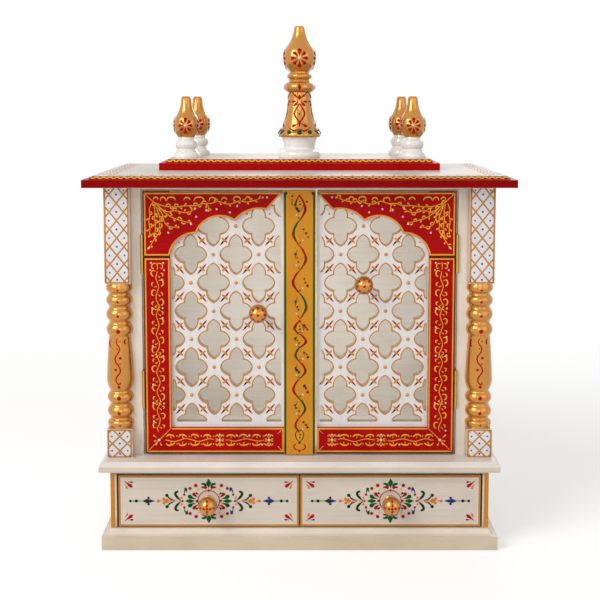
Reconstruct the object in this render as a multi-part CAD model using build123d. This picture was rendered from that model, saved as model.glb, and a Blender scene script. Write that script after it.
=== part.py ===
from build123d import *
from math import atan2, cos, sin, sqrt
import os

# Home shrine cabinet, in millimetres: x runs right, y runs back and z runs up.
# The origin is on the floor under the middle of the overall box, and the front faces -y.

# The shrine, which the boards above and below it are measured from
cabinet_width = 544.0
cabinet_depth = 294.4
cabinet_height = 397.0

# How far the base, the shelf and the roof board stand out past the shrine
base_side_overhang = 3.0
base_front_overhang = 28.6
shelf_side_overhang = 17.0
shelf_front_overhang = 45.6
roof_side_overhang = 33.0
roof_front_overhang = 55.6

# How far the plinth stands out past the base, and the tier stands in from the roof board
plinth_side_overhang = 12.0
plinth_front_overhang = 13.5
tier_side_inset = 92.5
tier_front_inset = 144.0

# Heights of the boards and the base
plinth_height = 28.5
base_height = 87.0
shelf_thickness = 14.5
roof_thickness = 16.0
tier_thickness = 17.0

# Moulded edges of the boards
roof_edge_face = 11.2
plinth_edge_face = 20.0
plinth_edge_ledge = 5.0
roof_edge_ledge = 6.5
edge_ledge_rise = 0.6
ogee_width = 8.5
shelf_chamfer_width = 6.3
shelf_chamfer_rise = 4.8
shelf_edge_round = 2.0

# Board thicknesses and the face frame
wall_thickness = 12.0
back_thickness = 6.0
base_side_thickness = 9.0
divider_thickness = 10.0
divider_front_gap = 2.6
rail_height = 5.7
rail_depth = 14.0
stile_width = 42.5
stile_thickness = 18.0
header_height = 5.0

# Doors and the running gaps round them
door_thickness = 12.0
door_side_gap = 2.6
door_floor_gap = 1.7
door_head_gap = 2.0
meeting_gap = 2.6
strip_width = 46.0
strip_thickness = 8.0

# Red boards laid on the doors
overlay_thickness = 5.8
overlay_side_inset = 2.6
overlay_end_inset = 2.9
overlay_width = 36.6
overlay_joint = 3.5
arch_height = 91.5

# Pierced lattice of the doors, its columns from the middle and its rows from the shrine's floor
lattice_first_column = 26.6
lattice_column_pitch = 32.85
lattice_first_row = 47.5
lattice_row_pitch = 41.5
lattice_meeting_margin = 4.0
lattice_stile_margin = 2.0
lattice_foot_margin = 7.7
lattice_head_margin = 9.0
arch_hole_fall = 12.0

# The pierced figure: the tips of its lobes, its cusps and the middles of its arcs
lobe_reach_side = 22.3
lobe_reach_up = 28.2
cusp_out = 8.8
cusp_up = 11.4
upper_arc_out = 6.7
upper_arc_up = 22.6
side_arc_out = 17.4
side_arc_up = 8.4

# Hinges, their middles from the shrine's floor
hinge_length = 56.0
hinge_heights = [98.0, 298.0]
hinge_knuckle_radius = 2.4
hinge_pin_radius = 1.2
hinge_running_clearance = 0.05
hinge_end_clearance = 0.3
hinge_leaf_thickness = 1.0
hinge_leaf_depth = 13.5
hinge_face_clearance = 0.1

# Turned half columns with square blocks
column_block = 37.0
column_side_overhang = 8.5
column_foot_height = 42.6
column_head_height = 140.6
bead_radius = 19.4
groove_radius = 15.3
groove_share = 0.3
shaft_end_radius = 18.0
belly_radius = 19.8
lower_bead_heights = [14.1, 20.8, 20.1]
upper_bead_heights = [21.6, 22.2, 19.4, 16.0]

# Turned finials, their rows from the tier's edges
large_finial_height = 202.0
large_finial_radius = 33.0
small_finial_height = 95.0
small_finial_radius = 20.2
front_row_inset = 49.0
back_row_inset = 43.0
front_small_inset = 37.5
back_small_inset = 45.5

# Knobs, those of the doors placed by a column and a row of the lattice
knob_radius = 13.6
knob_reach = 36.0
knob_neck_radius = 5.0
knob_rose_radius = 9.0
knob_rose_thickness = 2.5
knob_rose_flare = 2.5
left_knob_place = (1, 4)
right_knob_place = (2, 5)

# Drawers
drawer_front_thickness = 12.0
drawer_floor_gap = 2.2
drawer_head_gap = 3.3
drawer_side_gap = 2.6
drawer_meeting_gap = 2.2
tray_side_clearance = 1.5
tray_runner_clearance = 0.4
tray_back_clearance = 9.0
tray_head_drop = 11.6
tray_wall = 8.0
tray_bottom = 5.0

# Spare length of a solid that only cuts or crosses another
cut_spare = 5.0

# Widths and depths that the sizes above give
base_width = cabinet_width + 2 * base_side_overhang
shelf_width = cabinet_width + 2 * shelf_side_overhang
plinth_width = base_width + 2 * plinth_side_overhang
roof_width = cabinet_width + 2 * roof_side_overhang
tier_width = roof_width - 2 * tier_side_inset
base_depth = cabinet_depth + base_front_overhang
shelf_depth = cabinet_depth + shelf_front_overhang
plinth_depth = base_depth + plinth_front_overhang
roof_depth = cabinet_depth + roof_front_overhang
tier_depth = roof_depth - tier_front_inset

# Planes from back to front; the roof or the drawers' knobs reach furthest forward
back_y = max(roof_depth, base_depth + knob_reach) / 2
face_y = back_y - cabinet_depth
base_front_y = back_y - base_depth
drawer_back_y = base_front_y + drawer_front_thickness
back_panel_y = back_y - back_thickness

# Distances from the middle to each side
cabinet_half = cabinet_width / 2
wall_inner = cabinet_half - wall_thickness
opening_half = cabinet_half - stile_width
base_inner = base_width / 2 - base_side_thickness
column_centre = cabinet_half + column_side_overhang - column_block / 2
strip_half = strip_width / 2
door_outer = opening_half - door_side_gap
overlay_outer = door_outer - overlay_side_inset
overlay_inner = overlay_outer - overlay_width

# Levels from the floor up
base_z = plinth_height
shelf_z = base_z + base_height
floor_z = shelf_z + shelf_thickness
door_z = floor_z + door_floor_gap
overlay_foot = door_z + overlay_end_inset
door_rail_top = overlay_foot + overlay_width
roof_z = floor_z + cabinet_height
door_head = roof_z - header_height - door_head_gap
overlay_head = door_head - overlay_end_inset
arch_z = overlay_head - arch_height
tier_z = roof_z + roof_thickness
finial_z = tier_z + tier_thickness


def block(x_range, y_range, z_range):
    """A square-edged board between two limits on each axis."""
    corner = Pos(x_range[0], y_range[0], z_range[0])
    size = [limits[1] - limits[0] for limits in (x_range, y_range, z_range)]
    return corner * Box(*size, align=(Align.MIN, Align.MIN, Align.MIN))


def sided(side, near, far):
    """The x limits between two distances from the middle, on the left for -1 and the right for 1."""
    return (near, far) if side > 0 else (-far, -near)


def outline_curves(steps, place):
    """Lines and arcs through the steps, where a step of four numbers is an arc with its middle."""
    start = place(*steps[0])
    curves = []
    for step in steps[1:]:
        end = place(*step[-2:])
        if len(step) == 4:
            curves.append(ThreePointArc(start, place(*step[:2]), end))
        else:
            curves.append(Line(start, end))
        start = end
    return curves


def scaled(steps, width, height, foot=0.0):
    """An outline given in shares of a width and a height, at its real size above its foot."""
    sizes, starts = (width, height), (0.0, foot)
    return [tuple(share * sizes[i % 2] + starts[i % 2] for i, share in enumerate(step)) for step in steps]


def turned(steps):
    """A solid turned about the z axis from an outline of radii and heights."""
    outline = [(0, steps[0][-1])] + steps + [(0, steps[-1][-1])]
    curves = outline_curves(outline, lambda r, z: (r, 0, z))
    axis_line = Line(curves[-1] @ 1, curves[0] @ 0)
    return revolve(Face(Wire(curves + [axis_line])), Axis.Z)


def moulded_board(width, depth, z, edge):
    """A board with the edge's insets and rises on its front and both sides, mitred."""
    half, top = width / 2, edge[-1][-1]
    right = outline_curves(edge, lambda inset, rise: (half - inset, cut_spare, rise))
    left = outline_curves(edge, lambda inset, rise: (inset - half, cut_spare, rise))
    foot = Line(left[0] @ 0, right[0] @ 0)
    head = Line(right[-1] @ 1, left[-1] @ 1)
    section = Face(Wire([foot, *right, head, *left]))
    across = extrude(section, amount=depth + 2 * cut_spare, dir=(0, -1, 0))
    front = outline_curves(edge, lambda inset, rise: (0, inset - depth, rise))
    lid = Line(front[-1] @ 1, (0, 0, top))
    back = Line((0, 0, top), (0, 0, 0))
    sole = Line((0, 0, 0), front[0] @ 0)
    section = Face(Wire([*front, lid, back, sole]))
    along = extrude(section, amount=half + cut_spare, dir=(1, 0, 0), both=True)
    return Pos(0, back_y, z) * (across & along)


def ogee(inset, rise, width, height):
    """A hollow arc and then a round one, level where they start and end."""
    half_width, half_height = width / 2, height / 2
    radius = (half_width**2 + half_height**2) / height
    turn = atan2(half_width, radius - half_height) / 2
    along, up = radius * sin(turn), radius * (1 - cos(turn))
    return [
        (inset + along, rise + up, inset + half_width, rise + half_height),
        (inset + width - along, rise + height - up, inset + width, rise + height),
    ]


def classical_edge(face, thickness, ledge):
    """A square face, a small ledge and an ogee up to the board's top."""
    ledge_top = face + edge_ledge_rise
    start = [(0, 0), (0, face), (ledge, ledge_top)]
    return start + ogee(ledge, ledge_top, ogee_width, thickness - ledge_top)


def shelf_edge():
    """A face with its foot rounded and its top chamfered."""
    corner = shelf_edge_round * (1 - sqrt(0.5))
    return [
        (shelf_edge_round, 0),
        (corner, corner, 0, shelf_edge_round),
        (0, shelf_thickness - shelf_chamfer_rise),
        (shelf_chamfer_width, shelf_thickness),
    ]


def stacked_boards():
    """The plinth, the shelf and the two boards of the roof."""
    plinth_edge = classical_edge(plinth_edge_face, plinth_height, plinth_edge_ledge)
    roof_edge = classical_edge(roof_edge_face, roof_thickness, roof_edge_ledge)
    tier_edge = classical_edge(roof_edge_face, tier_thickness, roof_edge_ledge)
    return {
        "plinth": moulded_board(plinth_width, plinth_depth, 0, plinth_edge),
        "shelf": moulded_board(shelf_width, shelf_depth, shelf_z, shelf_edge()),
        "roof_board": moulded_board(roof_width, roof_depth, roof_z, roof_edge),
        "roof_tier": moulded_board(tier_width, tier_depth, tier_z, tier_edge),
    }


def base_box():
    """The boards of the drawer box."""
    side = base_width / 2
    high = (base_z, shelf_z)
    rail_z = shelf_z - rail_height
    divider_half = divider_thickness / 2
    divider_y = (drawer_back_y + divider_front_gap, back_panel_y)
    rail_y = (base_front_y, base_front_y + rail_depth)
    return {
        "base_left_side": block(sided(-1, base_inner, side), (base_front_y, back_y), high),
        "base_right_side": block(sided(1, base_inner, side), (base_front_y, back_y), high),
        "base_back": block((-base_inner, base_inner), (back_panel_y, back_y), high),
        "drawer_divider": block((-divider_half, divider_half), divider_y, (base_z, rail_z)),
        "drawer_top_rail": block((-base_inner, base_inner), rail_y, (rail_z, shelf_z)),
    }


def shrine_box():
    """The walls and the face frame between the shelf and the roof."""
    frame_y = (face_y, face_y + stile_thickness)
    wall_y = (face_y + stile_thickness, back_y)
    high = (floor_z, roof_z)
    header_z = (roof_z - header_height, roof_z)
    return {
        "left_side_wall": block(sided(-1, wall_inner, cabinet_half), wall_y, high),
        "right_side_wall": block(sided(1, wall_inner, cabinet_half), wall_y, high),
        "back_panel": block((-wall_inner, wall_inner), (back_panel_y, back_y), high),
        "left_stile": block(sided(-1, opening_half, cabinet_half), frame_y, high),
        "right_stile": block(sided(1, opening_half, cabinet_half), frame_y, high),
        "header_rail": block((-opening_half, opening_half), frame_y, header_z),
    }


def reverse_curve(r_low, z_low, r_high, z_high, share):
    """Two arcs that are upright at both ends and meet at a share of the way, as outline steps."""
    run, rise = r_high - r_low, z_high - z_low
    lean = atan2(abs(run), rise)
    steps = []
    for radius, z, part, way in ((r_low, z_low, share, 1), (r_high, z_high, 1 - share, -1)):
        bend = part * (run**2 + rise**2) / (2 * run)
        steps.append((radius + way * bend * (1 - cos(lean)), z + way * abs(bend) * sin(lean)))
    meeting = (r_low + share * run, z_low + share * rise)
    return [(*steps[0], *meeting), (*steps[1], r_high, z_high)]


def beads(start, heights, start_radius, end_radius):
    """Rounded beads from a height up, with a hollow groove between each two, as outline steps."""
    steps = []
    z, low_radius = start, start_radius
    for number, height in enumerate(heights, 1):
        high_radius = end_radius if number == len(heights) else groove_radius
        middle = z + height / 2
        steps += reverse_curve(low_radius, z, bead_radius, middle, groove_share)
        steps += reverse_curve(bead_radius, middle, high_radius, z + height, 1 - groove_share)
        z, low_radius = z + height, high_radius
    return steps


def column_shaft():
    """The turned shaft between the two square blocks: beads, a belly and more beads."""
    foot = floor_z + column_foot_height
    head = roof_z - column_head_height
    belly_foot = foot + sum(lower_bead_heights)
    belly_head = head - sum(upper_bead_heights)
    belly_shape = [(0.93, 0.09, 1.0, 0.28), (0.94, 0.58, 0.81, 1.0)]
    steps = [(shaft_end_radius, foot)]
    steps += beads(foot, lower_bead_heights, shaft_end_radius, groove_radius)
    steps += scaled(belly_shape, belly_radius, belly_head - belly_foot, belly_foot)
    steps += beads(belly_head, upper_bead_heights, steps[-1][-2], shaft_end_radius)
    return steps


def half_column(x):
    """A turned column with its blocks, split lengthwise and set on the face frame."""
    half = column_block / 2
    foot_block = block((-half, half), (-half, half), (floor_z, floor_z + column_foot_height))
    head_block = block((-half, half), (-half, half), (roof_z - column_head_height, roof_z))
    whole = foot_block + turned(column_shaft()) + head_block
    front_half = block((-column_block, column_block), (-column_block, 0), (floor_z, roof_z))
    return Pos(x, face_y, 0) * (whole & front_half)


def large_finial():
    """The tall finial: a foot, a flared cup and ring, a bell, a collar, a ball and a tip."""
    shape = [
        (0.93, 0.0),
        (1.0, 0.028, 0.92, 0.055),
        (0.76, 0.072, 0.75, 0.1),
        (0.77, 0.125, 0.86, 0.16),
        (0.98, 0.163),
        (1.0, 0.183, 0.9, 0.206),
        (0.72, 0.28, 0.545, 0.44),
        (0.53, 0.5),
        (0.72, 0.54, 0.53, 0.58),
        (0.47, 0.6),
        (0.59, 0.622, 0.46, 0.645),
        (0.46, 0.657),
        (0.765, 0.765, 0.58, 0.853),
        (0.35, 0.92, 0.25, 0.988),
        (0.2, 1.0),
    ]
    return turned(scaled(shape, large_finial_radius, large_finial_height))


def small_finial():
    """The short finial: a foot, a cup with a bead, a ball and a tip."""
    shape = [
        (0.97, 0.0),
        (1.0, 0.05, 0.85, 0.1),
        (0.71, 0.15),
        (0.87, 0.23, 0.64, 0.31),
        (0.62, 0.34),
        (1.0, 0.53, 0.72, 0.705),
        (0.49, 0.82, 0.385, 0.97),
        (0.3, 1.0),
    ]
    return turned(scaled(shape, small_finial_radius, small_finial_height))


def finials():
    """The six finials in two rows on the roof's tier."""
    tier_half = tier_width / 2
    front = back_y - tier_depth + front_row_inset
    back = back_y - back_row_inset
    nodes = {}
    for row, y, inset in (("front", front, front_small_inset), ("back", back, back_small_inset)):
        offset = tier_half - inset
        nodes[row + "_centre_finial"] = Pos(0, y, finial_z) * large_finial()
        nodes[row + "_left_finial"] = Pos(-offset, y, finial_z) * small_finial()
        nodes[row + "_right_finial"] = Pos(offset, y, finial_z) * small_finial()
    return nodes


def knob():
    """A turned knob with its rose on the plane y = 0 and its ball towards the front."""
    ball = knob_reach - knob_radius
    steps = [
        (0, 0),
        (knob_rose_radius, 0),
        (knob_rose_radius, knob_rose_thickness),
        (knob_neck_radius, knob_rose_thickness + knob_rose_flare),
        (knob_neck_radius, ball - sqrt(knob_radius**2 - knob_neck_radius**2)),
        (knob_radius, ball, 0, knob_reach),
    ]
    curves = outline_curves(steps, lambda r, z: (r, 0, z))
    axis_line = Line(curves[-1] @ 1, curves[0] @ 0)
    return Rot(90, 0, 0) * revolve(Face(Wire(curves + [axis_line])), Axis.Z)


def quatrefoil():
    """The pierced figure: round pointed lobes that meet at four cusps."""
    steps = [
        (0, lobe_reach_up),
        (upper_arc_out, upper_arc_up, cusp_out, cusp_up),
        (side_arc_out, side_arc_up, lobe_reach_side, 0),
        (side_arc_out, -side_arc_up, cusp_out, -cusp_up),
        (upper_arc_out, -upper_arc_up, 0, -lobe_reach_up),
        (-upper_arc_out, -upper_arc_up, -cusp_out, -cusp_up),
        (-side_arc_out, -side_arc_up, -lobe_reach_side, 0),
        (-side_arc_out, side_arc_up, -cusp_out, cusp_up),
        (-upper_arc_out, upper_arc_up, 0, lobe_reach_up),
    ]
    face = Face(Wire(outline_curves(steps, lambda x, z: (x, 0, z))))
    return extrude(face, amount=door_thickness + cut_spare, dir=(0, 1, 0), both=True)


def lattice_place(column, row):
    """The x and z of a point of the lattice, on the right-hand door."""
    x = lattice_first_column + column * lattice_column_pitch
    return x, floor_z + lattice_first_row + row * lattice_row_pitch


def lattice_holes(inner):
    """The quatrefoils in the field between the red boards, at every second point below the arch."""
    field = block(
        (inner + lattice_meeting_margin, overlay_inner - lattice_stile_margin),
        (face_y - cut_spare, face_y + door_thickness + cut_spare),
        (door_rail_top + lattice_foot_margin, door_head - lattice_head_margin),
    )
    first_x, first_z = lattice_place(0, 0)
    columns = int((overlay_inner - first_x) / lattice_column_pitch) + 2
    rows = int((door_head - first_z) / lattice_row_pitch) + 1
    figure = quatrefoil()
    holes = []
    for column in range(columns):
        for row in range(column % 2, rows, 2):
            x, z = lattice_place(column, row)
            if z < overlay_head - arch_hole_fall * column:
                holes.append((Pos(x, face_y, z) * figure) & field)
    return holes


def lattice_board(inner, field_inner):
    """A pierced board from its meeting edge to its hinge edge, drawn for the right-hand door."""
    board = block((inner, door_outer), (face_y, face_y + door_thickness), (door_z, door_head))
    for hole in lattice_holes(field_inner):
        board -= hole
    return board


def arch_outline():
    """The arch board: three lobes rise from its springing to a tip at the doors' meeting."""
    lobes = [
        (0.089, 0.271, 0.237, 0.355),
        (0.407, 0.615, 0.578, 0.549),
        (0.722, 0.721, 0.859, 0.726),
        (1.0, 1.0),
    ]
    tip = strip_half + meeting_gap / 2
    steps = [(overlay_outer, arch_z), (overlay_inner, arch_z)]
    for lobe in scaled(lobes, overlay_inner - tip, arch_height, arch_z):
        steps.append(tuple(value if i % 2 else overlay_inner - value for i, value in enumerate(lobe)))
    return steps + [(overlay_outer, overlay_head)]


def overlay(outline, inner):
    """A red board cut to an outline in x and z and laid on the face of a door."""
    curves = outline_curves(outline + [outline[0]], lambda x, z: (x, face_y, z))
    board = extrude(Face(Wire(curves)), amount=overlay_thickness, dir=(0, -1, 0))
    deep = (face_y - overlay_thickness - cut_spare, face_y + cut_spare)
    return board & block((inner, door_outer), deep, (door_z, door_head))


def red_boards(inner):
    """The arch, stile and rail boards of a door, with mitred lower corners."""
    stile_top = arch_z - overlay_joint
    stile = [
        (overlay_outer, overlay_foot),
        (overlay_outer, stile_top),
        (overlay_inner, stile_top),
        (overlay_inner, door_rail_top),
    ]
    rail = [
        (overlay_outer, overlay_foot),
        (overlay_inner, door_rail_top),
        (inner, door_rail_top),
        (inner, overlay_foot),
    ]
    return {
        "door_arch": overlay(arch_outline(), inner),
        "door_stile": overlay(stile, inner),
        "door_rail": overlay(rail, inner),
    }


def doors():
    """Every piece of the two doors, the left one carrying the strip that covers the meeting."""
    right_inner = strip_half + meeting_gap
    pieces = {}
    for side, name, inner, field_inner in (
        (-1, "left_", -strip_half, strip_half),
        (1, "right_", right_inner, right_inner),
    ):
        made = {"lattice": lattice_board(inner, field_inner), **red_boards(field_inner)}
        for piece, solid in made.items():
            pieces[name + piece] = solid if side > 0 else mirror(solid, about=Plane.YZ)
    strip_y = (face_y - strip_thickness, face_y)
    pieces["centre_strip"] = block((-strip_half, strip_half), strip_y, (door_z, door_head))
    left_x, left_z = lattice_place(*left_knob_place)
    right_x, right_z = lattice_place(*right_knob_place)
    pieces["left_door_knob"] = Pos(-left_x, face_y, left_z) * knob()
    pieces["right_door_knob"] = Pos(right_x, face_y, right_z) * knob()
    return pieces


def barrel(radius, z_low, z_high):
    """A round piece of a hinge about the axis at x = y = 0."""
    upright = (Align.CENTER, Align.CENTER, Align.MIN)
    return Pos(0, 0, z_low) * Cylinder(radius, z_high - z_low, align=upright)


def hinge_leaf(side, z, knuckle_ranges):
    """A leaf beside the axis, on its +x or -x side, with tongues to its knuckles."""
    far = door_side_gap / 2
    x_range = sided(side, far - hinge_leaf_thickness, far)
    clear = hinge_knuckle_radius + hinge_end_clearance
    plate = block(x_range, (clear, clear + hinge_leaf_depth), (z, z + hinge_length))
    for low, high in knuckle_ranges:
        tongue = block(x_range, (0, clear + hinge_leaf_thickness), (low, high))
        plate += tongue + barrel(hinge_knuckle_radius, low, high)
    return plate


def hinge_pair(fixed_side):
    """The fixed and the moving halves of a door's two hinges, about the axis at x = y = 0."""
    third = hinge_length / 3
    fixed, moving = [], []
    for height in hinge_heights:
        foot = floor_z + height - hinge_length / 2
        head = foot + hinge_length
        ends = [(foot, foot + third), (head - third, head)]
        middle = (foot + third + hinge_end_clearance, head - third - hinge_end_clearance)
        pin = barrel(hinge_pin_radius, foot, head)
        bore = barrel(hinge_pin_radius + hinge_running_clearance, foot, head)
        fixed.append(hinge_leaf(fixed_side, foot, ends) + pin)
        moving.append(hinge_leaf(-fixed_side, foot, [middle]) - bore)
    return Compound(children=fixed), Compound(children=moving)


def hinges():
    """The fixed and moving hinge leaves of both doors, each set as one node."""
    axis_x = opening_half - door_side_gap / 2
    axis_y = face_y - hinge_knuckle_radius - hinge_face_clearance
    nodes = {}
    for side, name in ((-1, "left"), (1, "right")):
        fixed, moving = hinge_pair(side)
        at = Pos(side * axis_x, axis_y, 0)
        nodes[name + "_hinge_fixed_leaves"] = at * fixed
        nodes[name + "_hinge_door_leaves"] = at * moving
    return nodes


def drawer(side):
    """A drawer's front, its open tray and its knob, on the left for -1 and the right for 1."""
    front_x = sided(side, drawer_meeting_gap / 2, base_inner - drawer_side_gap)
    front_z = (base_z + drawer_floor_gap, shelf_z - rail_height - drawer_head_gap)
    tray_x = sided(side, divider_thickness / 2 + tray_side_clearance, base_inner - tray_side_clearance)
    tray_back = back_panel_y - tray_back_clearance
    foot, head = base_z + tray_runner_clearance, front_z[1] - tray_head_drop
    body = block(tray_x, (drawer_back_y, tray_back), (foot, head))
    hollow = block(
        (tray_x[0] + tray_wall, tray_x[1] - tray_wall),
        (drawer_back_y - cut_spare, tray_back - tray_wall),
        (foot + tray_bottom, head + cut_spare),
    )
    grip = Pos(sum(front_x) / 2, base_front_y, sum(front_z) / 2) * knob()
    return {
        "front": block(front_x, (base_front_y, drawer_back_y), front_z),
        "tray": body - hollow,
        "knob": grip,
    }


def drawers():
    """The pieces of both drawers."""
    nodes = {}
    for side, name in ((-1, "left"), (1, "right")):
        for piece, solid in drawer(side).items():
            nodes[name + "_drawer_" + piece] = solid
    return nodes


def columns():
    """The two half columns beside the doors."""
    return {"left_column": half_column(-column_centre), "right_column": half_column(column_centre)}


os.makedirs("parts", exist_ok=True)
for group in (stacked_boards, base_box, shrine_box, columns, finials, doors, hinges, drawers):
    for node_name, node_solid in group().items():
        export_step(node_solid, "parts/" + node_name + ".step")
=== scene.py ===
import logging
import math
import random
from dataclasses import dataclass, field, replace
from enum import Enum
from typing import Callable, Iterable, Sequence

import bmesh
import bpy
from mathutils import Matrix, Vector
from mathutils.bvhtree import BVHTree


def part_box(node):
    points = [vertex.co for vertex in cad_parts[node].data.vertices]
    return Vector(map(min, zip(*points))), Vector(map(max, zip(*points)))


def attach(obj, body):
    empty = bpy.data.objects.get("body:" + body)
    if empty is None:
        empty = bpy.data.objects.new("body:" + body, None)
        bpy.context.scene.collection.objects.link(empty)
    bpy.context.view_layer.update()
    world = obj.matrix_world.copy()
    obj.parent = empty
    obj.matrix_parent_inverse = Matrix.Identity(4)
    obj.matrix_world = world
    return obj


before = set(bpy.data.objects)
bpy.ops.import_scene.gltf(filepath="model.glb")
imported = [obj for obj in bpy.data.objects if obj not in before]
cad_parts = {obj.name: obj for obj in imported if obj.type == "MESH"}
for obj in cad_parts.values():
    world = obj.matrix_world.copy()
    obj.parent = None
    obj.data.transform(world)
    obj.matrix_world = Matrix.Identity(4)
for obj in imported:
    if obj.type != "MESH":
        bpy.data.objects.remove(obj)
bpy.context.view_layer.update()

LOG = logging.getLogger("shrine")
MM = 0.001
MASK_EDGE = 0.0003  # how soft the edge between two colours is (m)
BUMP_HEIGHT = 0.0006  # how deep the brush marks are at full strength (m)
CLOUD_SCALE = 16.0
SPECK_SCALE = 520.0
Point = tuple[float, float] | Vector
Rgba = tuple[float, float, float, float]
WHITE_LIGHT: Rgba = (1.0, 1.0, 1.0, 1.0)


class Shade(Enum):
    """Colours of the paints, the wood and the metal, as they look in daylight."""

    CREAM = "d9cbbd"
    TAN_CREAM = "ece1d2"
    BEIGE = "d4c9bc"
    WHITE = "d9dbe1"
    CHALK = "dfdcda"
    SILVER = "cfd4da"
    RED = "8c0607"
    TIER_RED = "aa090b"
    DEEP_RED = "ac090e"
    BRIGHT_RED = "a80a12"
    DARK_RED = "5a0a0a"
    GOLD = "c8841e"
    GOLD_LINE = "ec9a1a"
    YELLOW = "f0b428"
    OCHRE = "cf8c22"
    GREEN = "07551f"
    DARK_GREEN = "0a3a1c"
    BLUE = "123a86"
    ORANGE = "dd7a12"
    PEARL = "ece6df"
    SHELL = "f3efeb"
    RUST = "96441a"
    SAND = "b8a083"
    PLINTH = "d3c2ac"
    STONE = "dfdcd2"
    PALE_CREAM = "e6dacb"
    WOOD = "c79a66"
    WOOD_DARK = "a6794a"
    BRASS = "c9a25a"

    @property
    def rgba(self) -> Rgba:
        """The colour as linear light."""
        parts = [int(self.value[i : i + 2], 16) / 255 for i in (0, 2, 4)]
        return (*(p / 12.92 if p <= 0.04045 else ((p + 0.055) / 1.055) ** 2.4 for p in parts), 1.0)


class Facing(Enum):
    """The way that a painted face looks, as the turn that brings an upright drawing onto it."""

    FRONT = ("Z", 0.0, 1, -1)
    LEFT = ("Z", -90.0, 0, -1)
    RIGHT = ("Z", 90.0, 0, 1)
    TOP = ("X", -90.0, 2, 1)

    @property
    def matrix(self) -> Matrix:
        """The turn as a matrix."""
        return Matrix.Rotation(math.radians(self.value[1]), 4, self.value[0])

    @property
    def outward(self) -> Vector:
        """The direction that the face looks."""
        way = Vector((0.0, 0.0, 0.0))
        way[self.value[2]] = self.value[3]
        return way


class Value:
    """A number or colour that varies over a surface, whose operators add Math nodes."""

    def __init__(self, tree: "Tree", socket: bpy.types.NodeSocket) -> None:
        """Keeps the tree and the output socket."""
        self.tree = tree
        self.socket = socket

    def output(self, name: str) -> "Value":
        """Another output of the same node."""
        return Value(self.tree, self.socket.node.outputs[name])

    def math(self, operation: str, *operands: "Value | float") -> "Value":
        """The result of a Math node on some operands."""
        return self.tree.node("ShaderNodeMath", {"operation": operation}, dict(enumerate(operands)))

    def __add__(self, other: "Value | float") -> "Value":
        """Adds."""
        return self.math("ADD", self, other)

    def __sub__(self, other: "Value | float") -> "Value":
        """Subtracts."""
        return self.math("SUBTRACT", self, other)

    def __mul__(self, other: "Value | float") -> "Value":
        """Multiplies."""
        return self.math("MULTIPLY", self, other)

    def most(self, other: "Value | float") -> "Value":
        """The larger of two numbers."""
        return self.math("MAXIMUM", self, other)

    def past(self, level: float, soft: float) -> "Value":
        """A mask that rises from 0 to 1 across a level."""
        settings = {"operation": "MULTIPLY_ADD", "use_clamp": True}
        return self.tree.node("ShaderNodeMath", settings, {0: self - level, 1: 1 / soft, 2: 0.5})


class Tree:
    """The node tree of a material or a world, with one method that adds any node."""

    def __init__(self, owner: bpy.types.Material | bpy.types.World) -> None:
        """Empties the owner's tree.

        Args:
            owner: The material or world.
        """
        self.owner = owner
        owner.use_nodes = True
        self.nodes, self.links = owner.node_tree.nodes, owner.node_tree.links
        self.nodes.clear()

    def node(
        self, kind: str, settings: dict | None = None, inputs: dict | None = None, output: int | str = 0
    ) -> Value:
        """Adds a node.

        Args:
            kind: The node's type.
            settings: Its properties, which are set first.
            inputs: Values or links of its sockets, by name or number.
            output: The output to give back.

        Returns:
            One of the node's outputs, or its first input where it has no output.
        """
        made = self.nodes.new(kind)
        for key, value in (settings or {}).items():
            setattr(made, key, value)
        for key, value in (inputs or {}).items():
            if isinstance(value, Value):
                self.links.new(value.socket, made.inputs[key])
            else:
                made.inputs[key].default_value = value
        return Value(self, made.outputs[output] if made.outputs else made.inputs[0])

    def end(self, shader: Value) -> None:
        """Sends a shader to the owner's output."""
        kind = "World" if isinstance(self.owner, bpy.types.World) else "Material"
        self.node("ShaderNodeOutput" + kind, {}, {"Surface": shader})

    def seen(self) -> Value:
        """A mask of the rays by which the background shows."""
        path = self.node("ShaderNodeLightPath", output="Is Camera Ray")
        return path.most(path.output("Is Glossy Ray")).most(path.output("Is Transmission Ray"))

    def place(self) -> Value:
        """The place on the piece, in metres in the part's frame."""
        return self.node("ShaderNodeTexCoord", output="Object")

    def stretched(self, at: Value, scale: Sequence[float]) -> Value:
        """A place with each axis multiplied."""
        return self.node("ShaderNodeVectorMath", {"operation": "MULTIPLY"}, {0: at, 1: tuple(scale)})

    def noise(self, at: Value, scale: float, detail: float = 2.0) -> Value:
        """A cloudy number between 0 and 1."""
        return self.node("ShaderNodeTexNoise", {}, {"Vector": at, "Scale": scale, "Detail": detail}, "Fac")

    def mix(self, mask: "Value | float", under: "Value | Rgba", over: "Value | Rgba", how: str = "MIX") -> Value:
        """One colour laid over another where the mask is 1."""
        settings = {"data_type": "RGBA", "blend_type": how}
        return self.node("ShaderNodeMix", settings, {0: mask, 6: under, 7: over}, 2)

    def surface(self, **inputs: "Value | float | Rgba") -> None:
        """Ends the tree in a Principled shader.

        Args:
            inputs: Its sockets, with underscores for the spaces in their names.
        """
        named = {key.replace("_", " "): value for key, value in inputs.items()}
        self.end(self.node("ShaderNodeBsdfPrincipled", {}, named))


@dataclass(frozen=True)
class Half:
    """The part of a board on one side of a level.

    Attributes:
        axis: 0, 1 or 2 for x, y or z.
        sign: 1 for above the level and -1 for below it.
        level: The level, in millimetres.
    """

    axis: int
    sign: int
    level: float


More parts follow.
